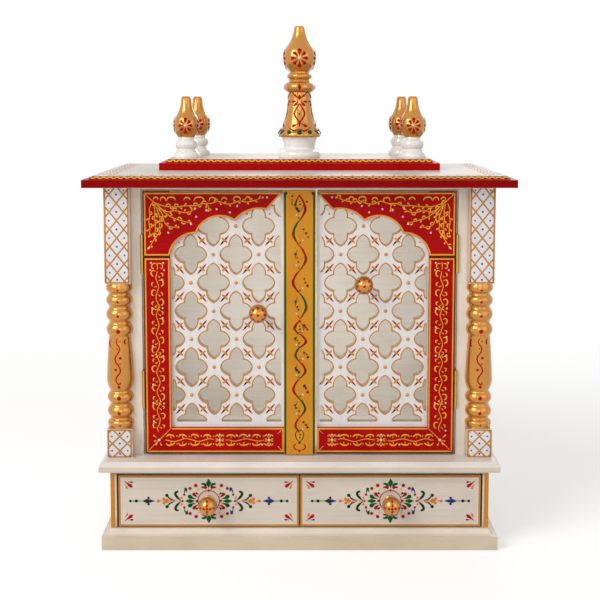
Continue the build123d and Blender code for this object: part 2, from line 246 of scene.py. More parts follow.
@dataclass(frozen=True)
class Paint:
    """A brushed paint, with a second colour on some sides of the piece.

    Attributes:
        name: The material's name.
        shade: The colour.
        roughness: How dull it is.
        metallic: How much metal powder it holds.
        coat: How much clear varnish lies over it.
        gloss: How strongly it mirrors.
        mottle: How far the colour varies in soft clouds.
        streak: How far the brush left darker streaks.
        brush: How stretched the brush marks are along each axis.
        relief: How strong the brush marks stand out.
        second: Another colour, laid on wherever one of the halves holds.
        second_metallic: How much metal powder the second colour holds.
        halves: Where the second colour lies.
        deep: A colour behind the front face, under the second one; on the lattice it is painted shade in the walls of
            the piercings.
        deep_half: Where the deep colour lies.
    """

    name: str
    shade: Shade
    roughness: float = 0.3
    metallic: float = 0.0
    coat: float = 0.08
    gloss: float = 0.3
    mottle: float = 0.1
    streak: float = 0.06
    brush: tuple[float, float, float] = (14.0, 240.0, 240.0)
    relief: float = 0.12
    second: Shade | None = None
    second_metallic: float = 0.0
    halves: tuple[Half, ...] = ()
    deep: Shade | None = None
    deep_half: Half | None = None

    @staticmethod
    def mask(tree: Tree, at: Value, halves: Iterable[Half]) -> "Value | float":
        """Where any of some halves holds.

        Args:
            tree: The material's tree.
            at: The place on the piece.
            halves: The halves.

        Returns:
            A mask that is 1 there.
        """
        axes = tree.node("ShaderNodeSeparateXYZ", {}, {0: at})
        mask: Value | float = 0.0
        for half in halves:
            side = axes.output("XYZ"[half.axis]) * half.sign
            mask = side.past(half.level * MM * half.sign, MASK_EDGE).most(mask)
        return mask

    def material(self) -> bpy.types.Material:
        """The finish as a material, made once.

        Returns:
            The material with the finish's name.
        """
        if self.name not in bpy.data.materials:
            self.shader(Tree(bpy.data.materials.new(self.name)))
        return bpy.data.materials[self.name]

    def shader(self, tree: Tree) -> None:
        """Fills a material's tree: the colours, soft clouds, brush marks and fine specks.

        Args:
            tree: The tree.
        """
        at = tree.place()
        colour: Value | Rgba = self.shade.rgba
        metal: Value | float = self.metallic
        # The deep colour paints shade behind the front face, as in the walls of the lattice's piercings.
        if self.deep is not None and self.deep_half is not None:
            colour = tree.mix(self.mask(tree, at, [self.deep_half]), colour, self.deep.rgba)
        if self.second is not None:
            mask = self.mask(tree, at, self.halves)
            colour = tree.mix(mask, colour, self.second.rgba)
            if self.second_metallic != self.metallic:
                metal = mask * (self.second_metallic - self.metallic) + self.metallic
        cloud = tree.noise(at, CLOUD_SCALE, 4.0).past(0.52, 0.35)
        speck = tree.noise(at, SPECK_SCALE)
        marks = tree.noise(tree.stretched(at, self.brush), 1.0, 3.0)
        dark = (1 - self.mottle, 1 - 1.15 * self.mottle, 1 - 1.5 * self.mottle, 1.0)
        colour = tree.mix(cloud, colour, dark, "MULTIPLY")
        low = 1 - self.streak
        colour = tree.mix(marks.past(0.58, 0.2), colour, (low, low, low, 1.0), "MULTIPLY")
        smooth = min(self.metallic, 0.4)
        height = marks * 0.8 + speck * (0.35 - 0.85 * smooth)
        bump = tree.node("ShaderNodeBump", {}, {"Strength": self.relief, "Distance": BUMP_HEIGHT, "Height": height})
        rough = speck * (0.16 - 0.3 * smooth) + marks * 0.1 + (self.roughness - 0.13)
        tree.surface(
            Base_Color=colour, Roughness=rough, Metallic=metal, Coat_Weight=self.coat, Coat_Roughness=0.12,
            Specular_IOR_Level=self.gloss, Normal=bump,
        )


@dataclass(frozen=True)
class Timber(Paint):
    """Plain sanded wood, with its grain along the brush's long axis."""

    def shader(self, tree: Tree) -> None:
        """Fills a material's tree: bent rings and dark pores.

        Args:
            tree: The tree.
        """
        at = tree.place()
        bend = tree.noise(at, 6.0)
        rings = tree.noise(tree.stretched(at, self.brush), 1.0, 5.0) + bend * 0.25
        pores = tree.noise(tree.stretched(at, tuple(6 * b for b in self.brush)), 1.0)
        colour = tree.mix(rings.past(0.62, 0.4), self.shade.rgba, Shade.WOOD_DARK.rgba)
        colour = tree.mix(pores.past(0.62, 0.12), colour, (0.82, 0.78, 0.72, 1.0), "MULTIPLY")
        bump = tree.node("ShaderNodeBump", {}, {"Strength": 0.2, "Distance": 0.0005, "Height": rings + pores * 0.5})
        tree.surface(Base_Color=colour, Roughness=pores * 0.2 + 0.5, Normal=bump)


ALONG_X = (14.0, 240.0, 240.0)
ALONG_Y = (240.0, 14.0, 240.0)
ALONG_Z = (240.0, 240.0, 14.0)
ROUND_Z = (60.0, 60.0, 420.0)


def turned_gold(name: str, roughness: float, gloss: float, white: Shade | None = None, *halves: Half) -> Paint:
    """Varnished gold paint on turned wood.

    Args:
        name: The material's name.
        roughness: How dull it is.
        gloss: How strongly it mirrors.
        white: The white on some of the wood.
        halves: Where the white lies.

    Returns:
        The paint.
    """
    look = {"roughness": roughness, "metallic": 0.62, "coat": 0.9, "gloss": gloss, "brush": ROUND_Z, "relief": 0.03}
    return Paint(name, Shade.GOLD, second=white, halves=halves, **look)


CREAM_X = Paint("cream_enamel_along", Shade.CREAM, brush=ALONG_X)
CREAM_Z = Paint("cream_enamel_upright", Shade.CREAM, brush=ALONG_Z)
STILE_CREAM = Paint("stile_enamel", Shade.TAN_CREAM, brush=ALONG_Z)
RED_BOARD = Paint("red_board_enamel", Shade.DEEP_RED, gloss=0.06, coat=0.0, mottle=0.22, streak=0.14, brush=ALONG_X)
GOLD_LINE = Paint("gold_line", Shade.GOLD_LINE, roughness=0.36, coat=0.0, mottle=0.2)
DARK_GOLD = Paint("dark_gold_line", Shade.GOLD, roughness=0.36, coat=0.0, mottle=0.2)
YELLOW_LINE = Paint("yellow_line", Shade.YELLOW, roughness=0.36, coat=0.0, mottle=0.2)
GOLD_BEAD = Paint("gold_bead", Shade.GOLD, roughness=0.24, metallic=0.3, coat=0.4, gloss=0.6)
GOLD_KNOB = turned_gold("gold_knob_paint", 0.25, 0.6)
RED_LINE, DARK_LINE, GREEN_LINE, LEAF_GREEN, BLUE_LINE, ORANGE_LINE, RUST_DOT = (
    Paint(name, shade, roughness=0.4, coat=0.0, gloss=gloss)
    for name, shade, gloss in (
        ("red_line", Shade.BRIGHT_RED, 0.1), ("dark_red_line", Shade.DARK_RED, 0.06),
        ("green_line", Shade.GREEN, 0.06), ("dark_green_line", Shade.DARK_GREEN, 0.06),
        ("blue_line", Shade.BLUE, 0.06), ("orange_line", Shade.ORANGE, 0.15), ("rust_dot", Shade.RUST, 0.1),
    )
)
WHITE_LINE = Paint("white_line", Shade.WHITE, roughness=0.34, coat=0.0)
SILVER_DOT = Paint("silver_dot", Shade.SILVER, roughness=0.26, coat=0.2)
BRASS = Paint("brushed_brass", Shade.BRASS, roughness=0.36, metallic=0.9, coat=0.0, brush=ALONG_Z)
TRAY_WOOD = Timber("tray_wood", Shade.WOOD, brush=(90.0, 6.0, 90.0))


def limits(node: str) -> tuple[Vector, Vector]:
    """The lowest and highest corners of a CAD node, in millimetres."""
    low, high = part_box(node)
    return low / MM, high / MM


def dress(finish: Paint, nodes: Iterable[str]) -> None:
    """Gives a finish to some CAD nodes.

    Args:
        finish: The finish.
        nodes: The nodes' names.
    """
    for name in nodes:
        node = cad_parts[name]
        node.data.materials.clear()
        node.data.materials.append(finish.material())


def add_piece(shape: bmesh.types.BMesh, name: str, body: str, finish: Paint, smooth: bool = True) -> bpy.types.Object:
    """Turns a finished shape into a piece that rides on a body.

    Args:
        shape: The shape, in metres and in place.
        name: The piece's name.
        body: The body that carries it.
        finish: Its finish.
        smooth: Whether its faces shade smoothly.

    Returns:
        The piece's object.
    """
    bmesh.ops.recalc_face_normals(shape, faces=shape.faces[:])
    mesh = bpy.data.meshes.new(name)
    shape.to_mesh(mesh)
    shape.free()
    mesh.polygons.foreach_set("use_smooth", [smooth] * len(mesh.polygons))
    mesh.materials.append(finish.material())
    piece = bpy.data.objects.new(name, mesh)
    bpy.context.scene.collection.objects.link(piece)
    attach(piece, body)
    LOG.info("%s: %d faces on %s", name, len(mesh.polygons), body)
    return piece


def surface_of(nodes: Iterable[str]) -> BVHTree:
    """The surfaces of some CAD nodes, for laying paint on them.

    Args:
        nodes: The nodes' names.

    Returns:
        A tree for casting rays at them.
    """
    merged = bmesh.new()
    for node in nodes:
        merged.from_mesh(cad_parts[node].data)
    tree = BVHTree.FromBMesh(merged)
    merged.free()
    return tree


def struck(surface: BVHTree, x: float, z: float) -> Vector | None:
    """Where a line of sight from the front first meets a surface, for an x and z in millimetres."""
    return surface.ray_cast(Vector((x * MM, -1.0, z * MM)), Vector((0.0, 1.0, 0.0)))[0]


def heading(start: Point, end: Point) -> tuple[float, Vector, Vector]:
    """How a line runs.

    Args:
        start: Its start.
        end: Its end.

    Returns:
        Its length, its direction and the direction across it.
    """
    run = Vector(end) - Vector(start)
    way = run.normalized()
    return run.length, way, Vector((-way.y, way.x))


def rim(node: str, facing: Facing, level: float, inset: float, width: float) -> bmesh.types.BMesh:
    """The band along every edge of a CAD node's flat face.

    Args:
        node: The node.
        facing: The way that the face looks.
        level: The face's place along that axis (mm).
        inset: How far the band lies from the edges (mm).
        width: The band's width (mm).

    Returns:
        The band's flat faces.
    """
    shape = bmesh.new()
    shape.from_mesh(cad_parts[node].data)
    bmesh.ops.remove_doubles(shape, verts=shape.verts[:], dist=1e-5)
    axis, out = facing.value[2], facing.outward
    away = [
        f for f in shape.faces
        if f.normal.dot(out) < 0.99 or abs(f.calc_center_median()[axis] - level * MM) > 1e-4
    ]
    bmesh.ops.delete(shape, geom=away, context="FACES")
    options = {"use_boundary": True, "use_even_offset": True}
    for thickness in [t for t in (inset, width) if t]:
        edge = set(bmesh.ops.inset_region(shape, faces=shape.faces[:], thickness=thickness * MM, **options)["faces"])
        rest = [f for f in shape.faces if f not in edge] if thickness is width else list(edge)
        bmesh.ops.delete(shape, geom=rest, context="FACES")
    return shape


def raise_faces(shape: bmesh.types.BMesh, facing: Facing, height: float) -> None:
    """Makes flat faces a closed layer that stands out of the board.

    Args:
        shape: The faces.
        facing: The way that they look.
        height: How high the layer stands (mm).
    """
    made = bmesh.ops.extrude_face_region(shape, geom=shape.faces[:], use_keep_orig=True)
    lifted = [g for g in made["geom"] if isinstance(g, bmesh.types.BMVert)]
    bmesh.ops.translate(shape, verts=lifted, vec=facing.outward * height * MM)


@dataclass
class Border:
    """A raised painted line along the edges of a board.

    Attributes:
        node: The board.
        level: The face's place along the facing's axis (mm).
        inset: How far the line lies from the edges (mm).
        width: The line's width (mm).
        facing: The way that the face looks.
        height: How high the paint stands (mm).
    """

    node: str
    level: float
    inset: float
    width: float
    facing: Facing = Facing.FRONT
    height: float = 0.3

    def paint(self, name: str, body: str, finish: Paint, keep: Callable[[Vector], bool] | None = None) -> None:
        """Lays the line.

        Args:
            name: The piece's name.
            body: The body that carries it.
            finish: Its finish.
            keep: Which faces of the band stay, by their middles in millimetres.
        """
        shape = rim(self.node, self.facing, self.level, self.inset, self.width)
        if keep is not None:
            lost = [f for f in shape.faces if not keep(f.calc_center_median() / MM)]
            bmesh.ops.delete(shape, geom=lost, context="FACES")
        raise_faces(shape, self.facing, self.height)
        add_piece(shape, name, body, finish, smooth=False)


@dataclass
class Brush:
    """Raised strokes and dots of one paint, drawn in millimetres on an upright plane.

    Attributes:
        relief: How high a stroke stands for half its width.
        weight: How much bolder than drawn the strokes and dots are.
        strokes: The strokes' points and their widths there.
        dots: The dots' centres, radii and heights.
        origin: The point that it draws from.
        flip: -1 for a direction that it draws mirrored, otherwise 1.
    """

    relief: float = 0.26
    weight: float = 1.0
    strokes: list[tuple[list[Point], list[float]]] = field(default_factory=list)
    dots: list[tuple[Point, float, float]] = field(default_factory=list)
    origin: Point = (0.0, 0.0)
    flip: tuple[int, int] = (1, 1)

    def placed(self, origin: Point, side: int = 1, up: int = 1) -> "Brush":
        """The same brush, which draws from an origin and perhaps mirrored."""
        return replace(self, origin=origin, flip=(side, up))

    def place(self, point: Point) -> Point:
        """Where a point of the drawing lies on the plane."""
        return self.origin[0] + self.flip[0] * point[0], self.origin[1] + self.flip[1] * point[1]

    def stroke(self, points: Iterable[Point], widths: list[float]) -> None:
        """A stroke with its width at each point."""
        self.strokes.append(([self.place(point) for point in points], widths))

    def line(self, points: Sequence[Point], width: float, root: float = 0.5, tip: float = 0.5) -> None:
        """A stroke of even width with narrower ends.

        Args:
            points: Its points.
            width: Its width (mm).
            root: The share of the width at its start.
            tip: The share of the width at its end.
        """
        self.stroke(points, [root * width, *[width] * (len(points) - 2), tip * width])

    def swell(self, points: Sequence[Point], width: float, root: float = 0.25, tip: float = 0.35) -> None:
        """A stroke that is thick in its middle and thin at its ends.

        Args:
            points: Its points.
            width: Its width in the middle (mm).
            root: The share of the width at its start.
            tip: The share of the width at its end.
        """
        widths = []
        for i in range(len(points)):
            share = i / (len(points) - 1)
            low = root + (tip - root) * share
            widths.append(width * (low + (1 - low) * math.sin(math.pi * share)))
        self.stroke(points, widths)

    def leaf(self, root: Point, tip: Point, width: float, bend: float = 0.0) -> None:
        """A drop that starts thin and ends round.

        Args:
            root: Its thin end.
            tip: Its round end.
            width: Its greatest width (mm).
            bend: How far it bends to one side, as a share of its length.
        """
        a, b = Vector(root), Vector(tip)
        side = Vector((a.y - b.y, b.x - a.x)) * bend
        points = [a.lerp(b, t) + side * 4 * t * (1 - t) for t in (0.0, 0.35, 0.7, 0.88, 1.0)]
        self.stroke(points, [width * share for share in (0.14, 0.45, 1.0, 0.95, 0.35)])

    def drop(self, points: Sequence[Point], width: float) -> None:
        """A short stroke of three points that is pointed at both ends."""
        self.stroke(points, [0.22 * width, width, 0.26 * width])

    def dot(self, centre: Point, radius: float, height: float = 0.35) -> None:
        """A round dot, as high as a share of its radius."""
        self.dots.append((self.place(centre), radius, height))

    def shape(self) -> bmesh.types.BMesh:
        """The strokes and dots as one mesh about the plane y = 0.

        Returns:
            The mesh, in metres.
        """
        shape = bmesh.new()
        if self.strokes:
            curve = bpy.data.curves.new("strokes", "CURVE")
            curve.dimensions = "3D"
            curve.bevel_depth, curve.bevel_resolution = MM, 1
            curve.resolution_u, curve.use_fill_caps = 4, True
            for points, widths in self.strokes:
                spline = curve.splines.new("BEZIER")
                spline.bezier_points.add(len(points) - 1)
                for knot, (u, v), width in zip(spline.bezier_points, points, widths):
                    knot.co, knot.radius = (u * MM, 0.0, v * MM), self.weight * width / 2
                    knot.handle_left_type = knot.handle_right_type = "AUTO"
            drawn = bpy.data.objects.new("strokes", curve)
            bpy.context.scene.collection.objects.link(drawn)
            ready = drawn.evaluated_get(bpy.context.evaluated_depsgraph_get())
            mesh = bpy.data.meshes.new_from_object(ready)
            shape.from_mesh(mesh)
            bpy.data.objects.remove(drawn)
            bpy.data.curves.remove(curve)
            bpy.data.meshes.remove(mesh)
            bmesh.ops.remove_doubles(shape, verts=shape.verts[:], dist=1e-6)
            bmesh.ops.scale(shape, vec=(1.0, self.relief, 1.0), verts=shape.verts[:])
        for (u, v), drawn_radius, height in self.dots:
            radius = self.weight * drawn_radius
            at = Matrix.Translation((u * MM, 0.0, v * MM)) @ Matrix.Diagonal((1.0, height, 1.0, 1.0))
            detail = 3 if radius > 2.2 else 2
            bmesh.ops.create_icosphere(shape, subdivisions=detail, radius=radius * MM, matrix=at)
        return shape


@dataclass
class Ornament:
    """The painted ornament of one face: one raised piece for each paint used.

    Attributes:
        name: The start of its pieces' names.
        body: The body that carries it.
        plane: The face's place along the facing's axis (mm).
        facing: The way that the face looks.
        weight: How much bolder than drawn it is.
        brushes: The brushes used so far.
    """

    name: str
    body: str
    plane: float = 0.0
    facing: Facing = Facing.FRONT
    weight: float = 1.0
    brushes: dict[Paint, Brush] = field(default_factory=dict)

    def brush(self, paint: Paint) -> Brush:
        """The brush that lays one paint."""
        return self.brushes.setdefault(paint, Brush(weight=self.weight))

    def hold(self, paints: Iterable[Paint], origin: Point = (0.0, 0.0), side: int = 1, up: int = 1) -> list[Brush]:
        """The brushes of several paints, which draw from an origin and perhaps mirrored."""
        return [self.brush(paint).placed(origin, side, up) for paint in paints]

    def finish(self, on: BVHTree | None = None, centre: Point = (0.0, 0.0), turns: int = 1) -> None:
        """Makes the pieces.

        Args:
            on: A curved surface that the paint follows.
            centre: The x and y of a turning's axis (mm).
            turns: How many times the ornament is repeated round that axis.
        """
        about = Vector((*centre, 0.0)) * MM
        for paint, brush in self.brushes.items():
            shape = brush.shape()
            bmesh.ops.transform(shape, matrix=self.facing.matrix, verts=shape.verts[:])
            if on is None:
                shift = Vector((0.0, 0.0, 0.0))
                shift[self.facing.value[2]] = self.plane * MM
                bmesh.ops.translate(shape, verts=shape.verts[:], vec=shift)
            else:
                self.lay_on(shape, on)
            first = shape.verts[:] + shape.edges[:] + shape.faces[:]
            for turn in range(1, turns):
                copy = bmesh.ops.duplicate(shape, geom=first)["geom"]
                moved = [g for g in copy if isinstance(g, bmesh.types.BMVert)]
                angle = Matrix.Rotation(2 * math.pi * turn / turns, 3, "Z")
                bmesh.ops.rotate(shape, cent=about, matrix=angle, verts=moved)
            add_piece(shape, f"{self.name}_{paint.name}", self.body, paint)

    def lay_on(self, shape: bmesh.types.BMesh, surface: BVHTree) -> None:
        """Moves each point of a flat drawing onto a surface, keeping its height above it.

        Args:
            shape: The drawing.
            surface: The surface.
        """
        out = self.facing.outward
        for vert in shape.verts:
            height = vert.co.dot(out)
            start = vert.co + out * (2.0 - height)
            hit, normal, _, _ = surface.ray_cast(start, -out)
            if hit is not None:
                vert.co = hit + normal * height


@dataclass
class Vine:
    """A swaying stem with fat curls beside it, pale dots and small crosses.

    Attributes:
        start: Where the stem starts.
        end: Where it ends.
        reach: How far the curls stand from the stem (mm).
        pitch: The distance between curls (mm).
        seed: The number that settles its uneven places.
        paired: Whether large curls stand on both sides at once.
    """

    start: Point
    end: Point
    reach: float
    pitch: float
    seed: int
    paired: bool = False

    def paint(self, gold: Brush, pale: Brush) -> None:
        """Draws the vine.

        Args:
            gold: The brush for the stem and the curls.
            pale: The brush for the dots.
        """
        rng = random.Random(self.seed)
        length, along, across = heading(self.start, self.end)
        count = max(2, round(length / self.pitch))
        step = length / count
        stem = [self.start]
        for unit in range(count):
            side = 1 if unit % 2 else -1

            def at(s: float, n: float) -> Point:
                """A point of this unit, in shares of its length and of the vine's reach."""
                place = Vector(self.start) + along * (unit + s + rng.uniform(-0.04, 0.04)) * step
                return place + across * (n + rng.uniform(-0.05, 0.05)) * side * self.reach

            stem += [at(0.25, 0.04), at(0.6, 0.26)]
            if self.paired:
                for way in (-1, 1):
                    bow = ((0.08, 0.62), (0.2, 0.98), (0.46, 1.06), (0.68, 0.86), (0.76, 0.6))
                    arc = [at(s, way * n) for s, n in bow]
                    gold.swell(arc, 2.5, 0.4, 0.5)
                    gold.leaf(at(0.5, 0.3 * way), at(0.42, 0.72 * way), 1.7)
                    gold.dot(at(0.94, 0.8 * way), 1.0)
            else:
                arc = [at(s, n) for s, n in ((0.02, 0.3), (-0.04, 0.8), (0.22, 1.06), (0.5, 0.9), (0.58, 0.66))]
                gold.swell(arc, 2.3, 0.35, 0.6)
                gold.leaf(at(0.5, -0.02), at(0.66, -0.5), 1.8, 0.15)
                gold.swell([at(0.2, -0.6), at(0.32, -0.95), at(0.56, -0.86)], 2.3, 0.4, 0.5)
            if unit % 5 == 3 and not self.paired:
                for dx, dz in ((0.2, 0.5), (-0.2, 0.5), (0.2, -0.5), (-0.2, -0.5)):
                    gold.leaf(at(0.9, 0.0), at(0.9 + dx, dz), 1.7)
                pale.dot(at(0.9, 0.95), 1.4)
                pale.dot(at(0.9, -0.95), 1.4)
            elif rng.random() < 0.35:
                pale.dot(at(0.88, rng.choice((-1, 1)) * 0.95), 1.35)
        gold.line([*stem, self.end], 1.2)


ARCH_BRANCHES: tuple[tuple[Point, ...], ...] = (
    ((11, 16), (8.2, 24), (8.8, 33), (7.2, 42), (8.6, 50), (7.6, 62)),
    ((14, 16), (16.2, 27), (15.6, 38), (16.8, 48), (15.4, 62)),
    ((16, 17), (20.6, 28), (23.4, 38), (22.4, 48), (23.2, 54), (14.5, 68), (8.5, 78)),
    ((19, 21), (26.5, 31), (29, 41), (34, 48), (41, 50), (48, 50)),
    ((5, 5), (12, 11.5), (21.5, 20), (30, 28.5), (40, 35.5), (52, 40), (66, 43.5)),
    ((20, 18.5), (33, 27.5), (46, 26), (55, 28.5), (66, 28), (72, 24.5)),
    ((16, 14.5), (30, 19.5), (48, 20.5), (62, 19), (76, 18.8), (88, 15.8), (93, 20), (93, 24.5)),
    ((88, 15.8), (98, 15.4), (107, 12.6), (118, 16.4), (127, 16), (138, 12), (146, 13.6), (156, 12.2), (170, 7.5)),
)
TOP_ARCS = (
    (17.5, 8.4, 7), (28, 8.6, 8), (39.5, 8.4, 13), (62.4, 8.8, 9), (79.7, 8.4, 15), (99, 9, 10), (116, 9, 8),
    (134, 7.6, 11), (150, 8, 7),
)
ARCH_DOTS = (
    (90, 25.5), (74, 22.8), (105, 24), (124, 28.6), (134.5, 19.4), (177.5, 6.8), (35, 58), (68, 45.5), (75.5, 35),
    (6, 81),
)


@dataclass
class LatticeDoor:
    """One door: its pierced lattice, its red boards and its knob.

    Attributes:
        side: "left" or "right".
        first_column: The lattice's first column from the cabinet's middle (mm).
        column_pitch: The distance between its columns (mm).
        first_row: Its first row above the shrine's floor (mm).
        row_pitch: The distance between its rows (mm).
        outline: The width of the gold line round each piercing (mm).
        border: The width of the gold line round each red board (mm).
        bead: The radius of the gold beads (mm).
        stile_gap: How far the outlines stop short of the red stile (mm).
        rail_gap: How far they stop above the red rail (mm).
        meeting_gap: How far they stop beside the doors' meeting (mm).
        bead_gap: How far the beads stay from the rail and the meeting (mm).
    """

    side: str
    first_column: float = 26.6
    column_pitch: float = 32.85
    first_row: float = 47.5
    row_pitch: float = 41.5
    outline: float = 1.7
    border: float = 2.1
    bead: float = 2.7
    stile_gap: float = 2.0
    rail_gap: float = 7.7
    meeting_gap: float = 4.0
    bead_gap: float = 12.0

    def __post_init__(self) -> None:
        """Reads the places of the boards from the CAD nodes."""
        self.body = self.side + "_door"
        self.sign = -1 if self.side == "left" else 1
        self.face = limits(self.side + "_lattice")[0].y
        self.board_face = limits(self.side + "_door_rail")[0].y
        self.floor = limits("shelf")[1].z
        self.stile = limits(self.side + "_door_stile")
        self.rail = limits(self.side + "_door_rail")
        self.arch = limits(self.side + "_door_arch")
        self.frame_inner = min(abs(self.stile[0].x), abs(self.stile[1].x))
        self.frame_outer = max(abs(self.stile[0].x), abs(self.stile[1].x))
        self.meeting = min(abs(self.rail[0].x), abs(self.rail[1].x))
        self.over = surface_of([self.side + "_door_arch", self.side + "_door_stile", self.side + "_door_rail"])
        self.wood = surface_of([self.side + "_lattice"])

    def covered(self, x: float, z: float) -> bool:
        """Whether a red board hides a point of the lattice."""
        return struck(self.over, x, z) is not None

    def solid(self, x: float, z: float) -> bool:
        """Whether the lattice has wood at a point."""
        hit = struck(self.wood, x, z)
        return hit is not None and hit.y < (self.face + 1.0) * MM

    def point(self, column: float, row: float) -> Point:
        """The x and z of a point of the lattice."""
        x = self.sign * (self.first_column + column * self.column_pitch)
        return x, self.floor + self.first_row + row * self.row_pitch

    def build(self) -> None:
        """Dresses the door and adds its ornament."""
        self.dress_boards()
        self.outlines()
        self.lattice_marks()
        self.borders()
        self.vines()

    def dress_boards(self) -> None:
        """Paints the boards: the lattice is red where the red boards cover it, and tan behind its front face, which
        is painted shade in the walls of its piercings and the same tan on the door's back.
        """
        covered = (Half(0, self.sign, self.sign * (self.frame_inner - 0.2)), Half(2, -1, self.rail[1].z - 0.2))
        # Tan behind the front face: painted shade in the piercings' walls, and the same tan on the door's back.
        lattice = Paint(
            self.side + "_lattice_enamel", Shade.CHALK, roughness=0.3, mottle=0.05, brush=ALONG_Z,
            second=Shade.DARK_RED, halves=covered, deep=Shade.SAND, deep_half=Half(1, 1, self.face + 0.5),
        )
        dress(lattice, [self.side + "_lattice"])
        dress(RED_BOARD, [self.side + "_door_arch", self.side + "_door_stile", self.side + "_door_rail"])

    def outlines(self) -> None:
        """Gold lines round the piercings, apart from their straight cut sides."""
        near = self.frame_inner - self.stile_gap - self.outline
        foot = self.rail[1].z + self.rail_gap + self.outline
        inner = self.meeting + self.meeting_gap + self.outline

        def keep(middle: Vector) -> bool:
            """Whether a part of the band shows beside a curved edge."""
            beside = inner < self.sign * middle.x < near and middle.z > foot
            return beside and not self.covered(middle.x, middle.z)

        line = Border(self.side + "_lattice", self.face, 0.0, self.outline, height=0.25)
        line.paint(self.side + "_lattice_outline", self.body, DARK_GOLD, keep)

    def lattice_marks(self) -> None:
        """Gold beads between the piercings and crossed strokes on the bridges."""
        marks = Ornament(self.side + "_lattice_marks", self.body, self.face)
        beads = marks.brush(GOLD_BEAD)
        for row in range(10):
            for column in range(6):
                x, z = self.point(column, row)
                edge = abs(x) < self.meeting + self.bead_gap or z < self.rail[1].z + self.bead_gap
                if (row + column) % 2 and not edge and not self.covered(x, z) and self.solid(x, z):
                    beads.dot((x, z), self.bead, 0.62)
                x, z = self.point(column + 0.5, row - 0.5)
                if row and self.solid(x, z) and not self.covered(x, z) and abs(x) < self.frame_inner - 6:
                    self.crossed_strokes(marks, x, z, row + column)
        marks.finish()

    def crossed_strokes(self, marks: Ornament, x: float, z: float, count: int) -> None:
        """Draws a long red stroke along a bridge with a short gold one across it.

        Args:
            marks: The ornament that they go into.
            x: The bridge's middle.
            z: Its height.
            count: Its number, which settles the way that it leans.
        """
        rising = self.sign * (-1) ** count
        if self.covered(x + 6.6 * rising, z + 7.4):
            marks.brush(ORANGE_LINE).dot((x, z - 3.0), 1.5)
            return
        for paint, way in ((RED_LINE, 1), (DARK_LINE if rising > 0 else RED_LINE, -1)):
            half = [(0.0, 0.0), (3.2 * rising, 3.6), (6.6 * rising, 7.4)]
            marks.brush(paint).placed((x, z), way, way).line(half, 2.9, 1.0, 0.3)
        gold = marks.brush(DARK_GOLD)
        for way in (-1, 1):
            gold.leaf((x, z), (x - 3.9 * rising * way, z + 3.5 * way), 3.1)
        gold.dot((x, z), 2.5, 0.5)

    def borders(self) -> None:
        """Gold lines round the red boards."""
        for board in ("arch", "stile", "rail"):
            node = f"{self.side}_door_{board}"
            Border(node, self.board_face, 0.3, self.border).paint(
                node + "_border", self.body, GOLD_LINE, lambda middle, board=board: self.on_border(middle, board)
            )

    def on_border(self, middle: Vector, board: str) -> bool:
        """Whether a red board's edge carries the gold line: the mitre between boards has none.

        Args:
            middle: The middle of a part of the line (mm).
            board: "arch", "stile" or "rail".

        Returns:
            Whether that part is kept.
        """
        if board == "arch":
            return True
        outer, inner = self.frame_outer - abs(middle.x), abs(middle.x) - self.frame_inner
        up, down = self.rail[1].z - middle.z, middle.z - self.rail[0].z
        on_mitre = abs(outer - down) < 1.2 * self.border and outer > self.border and inner > 0 and up > 0
        return not on_mitre

    def vines(self) -> None:
        """Gold vines, pale dots and the mitre's line on the red boards."""
        work = Ornament(self.side + "_door_vines", self.body, self.board_face)
        gold, pale = work.brush(YELLOW_LINE), work.brush(SILVER_DOT)
        s = self.sign
        middle_x = s * (self.frame_inner + self.frame_outer) / 2
        top, foot = self.stile[1].z, self.rail[0].z
        rail_z = (self.rail[0].z + self.rail[1].z) / 2
        seed = 11 if s < 0 else 23
        self.anchor(gold, pale, (middle_x, top - 6))
        Vine((middle_x, top - 19), (middle_x, rail_z + 12), 8.0, 14.0, seed).paint(gold, pale)
        flower_x, end_x = s * (self.meeting + 94.0), s * (self.meeting + 22.0)
        Vine((middle_x - s * 9, rail_z), (flower_x + s * 8, rail_z), 7.4, 16.5, seed + 3, True).paint(gold, pale)
        Vine((flower_x - s * 8, rail_z), (end_x + s * 7, rail_z), 7.4, 16.5, seed + 4, True).paint(gold, pale)
        self.star(gold, pale, (flower_x, rail_z))
        self.star(gold, pale, (end_x, rail_z))
        outer_x, inner_x = s * self.frame_outer, s * self.frame_inner
        gold.line([(outer_x, foot), (middle_x, rail_z), (inner_x, self.rail[1].z)], 1.3)
        pale.line([(outer_x - s * 1, foot + 1), (outer_x - s * 5, foot + 5)], 1.3)
        pale.line([(inner_x + s * 1, self.rail[1].z - 1), (inner_x + s * 6, self.rail[1].z - 6)], 1.3)
        pale.dot((middle_x, rail_z), 2.0)
        for u, v in ((1.0, 0.9), (0.9, -0.2), (-0.4, -1.0), (0.6, -0.9)):
            gold.placed((middle_x, rail_z), s).leaf((3.4 * u, 3.4 * v), (8.6 * u, 8.6 * v), 2.3)
        close = s * (self.meeting + 3.0)
        for z, up in ((self.rail[1].z - 3, -1), (self.rail[0].z + 3, 1)):
            pale.line([(close, z), (close + s * 6, z + 6 * up)], 1.0)
        self.branches(gold, pale, seed + 5)
        work.finish()

    @staticmethod
    def star(gold: Brush, pale: Brush, centre: Point) -> None:
        """Draws a small flower: curls above and below, leaves at its sides and a pale middle.

        Args:
            gold: The brush for its curls.
            pale: The brush for its middle.
            centre: Its middle.
        """
        for side, up in ((1, 1), (-1, 1), (1, -1), (-1, -1)):
            quarter = gold.placed(centre, side, up)
            quarter.swell([(1.2, 4.2), (3.6, 7.6), (6.4, 5.4)], 2.2, 0.4, 0.5)
            quarter.leaf((1.0, 0.5), (6.2, 1.9), 1.8)
        gold, pale = gold.placed(centre), pale.placed(centre)
        gold.line([(0.0, -7.6), (0.0, 0.0), (0.0, 7.6)], 1.3)
        gold.dot((0.0, -8.2), 1.4)
        pale.dot((0.0, 8.0), 1.3)
        pale.dot((0.0, 0.0), 1.9, 0.5)

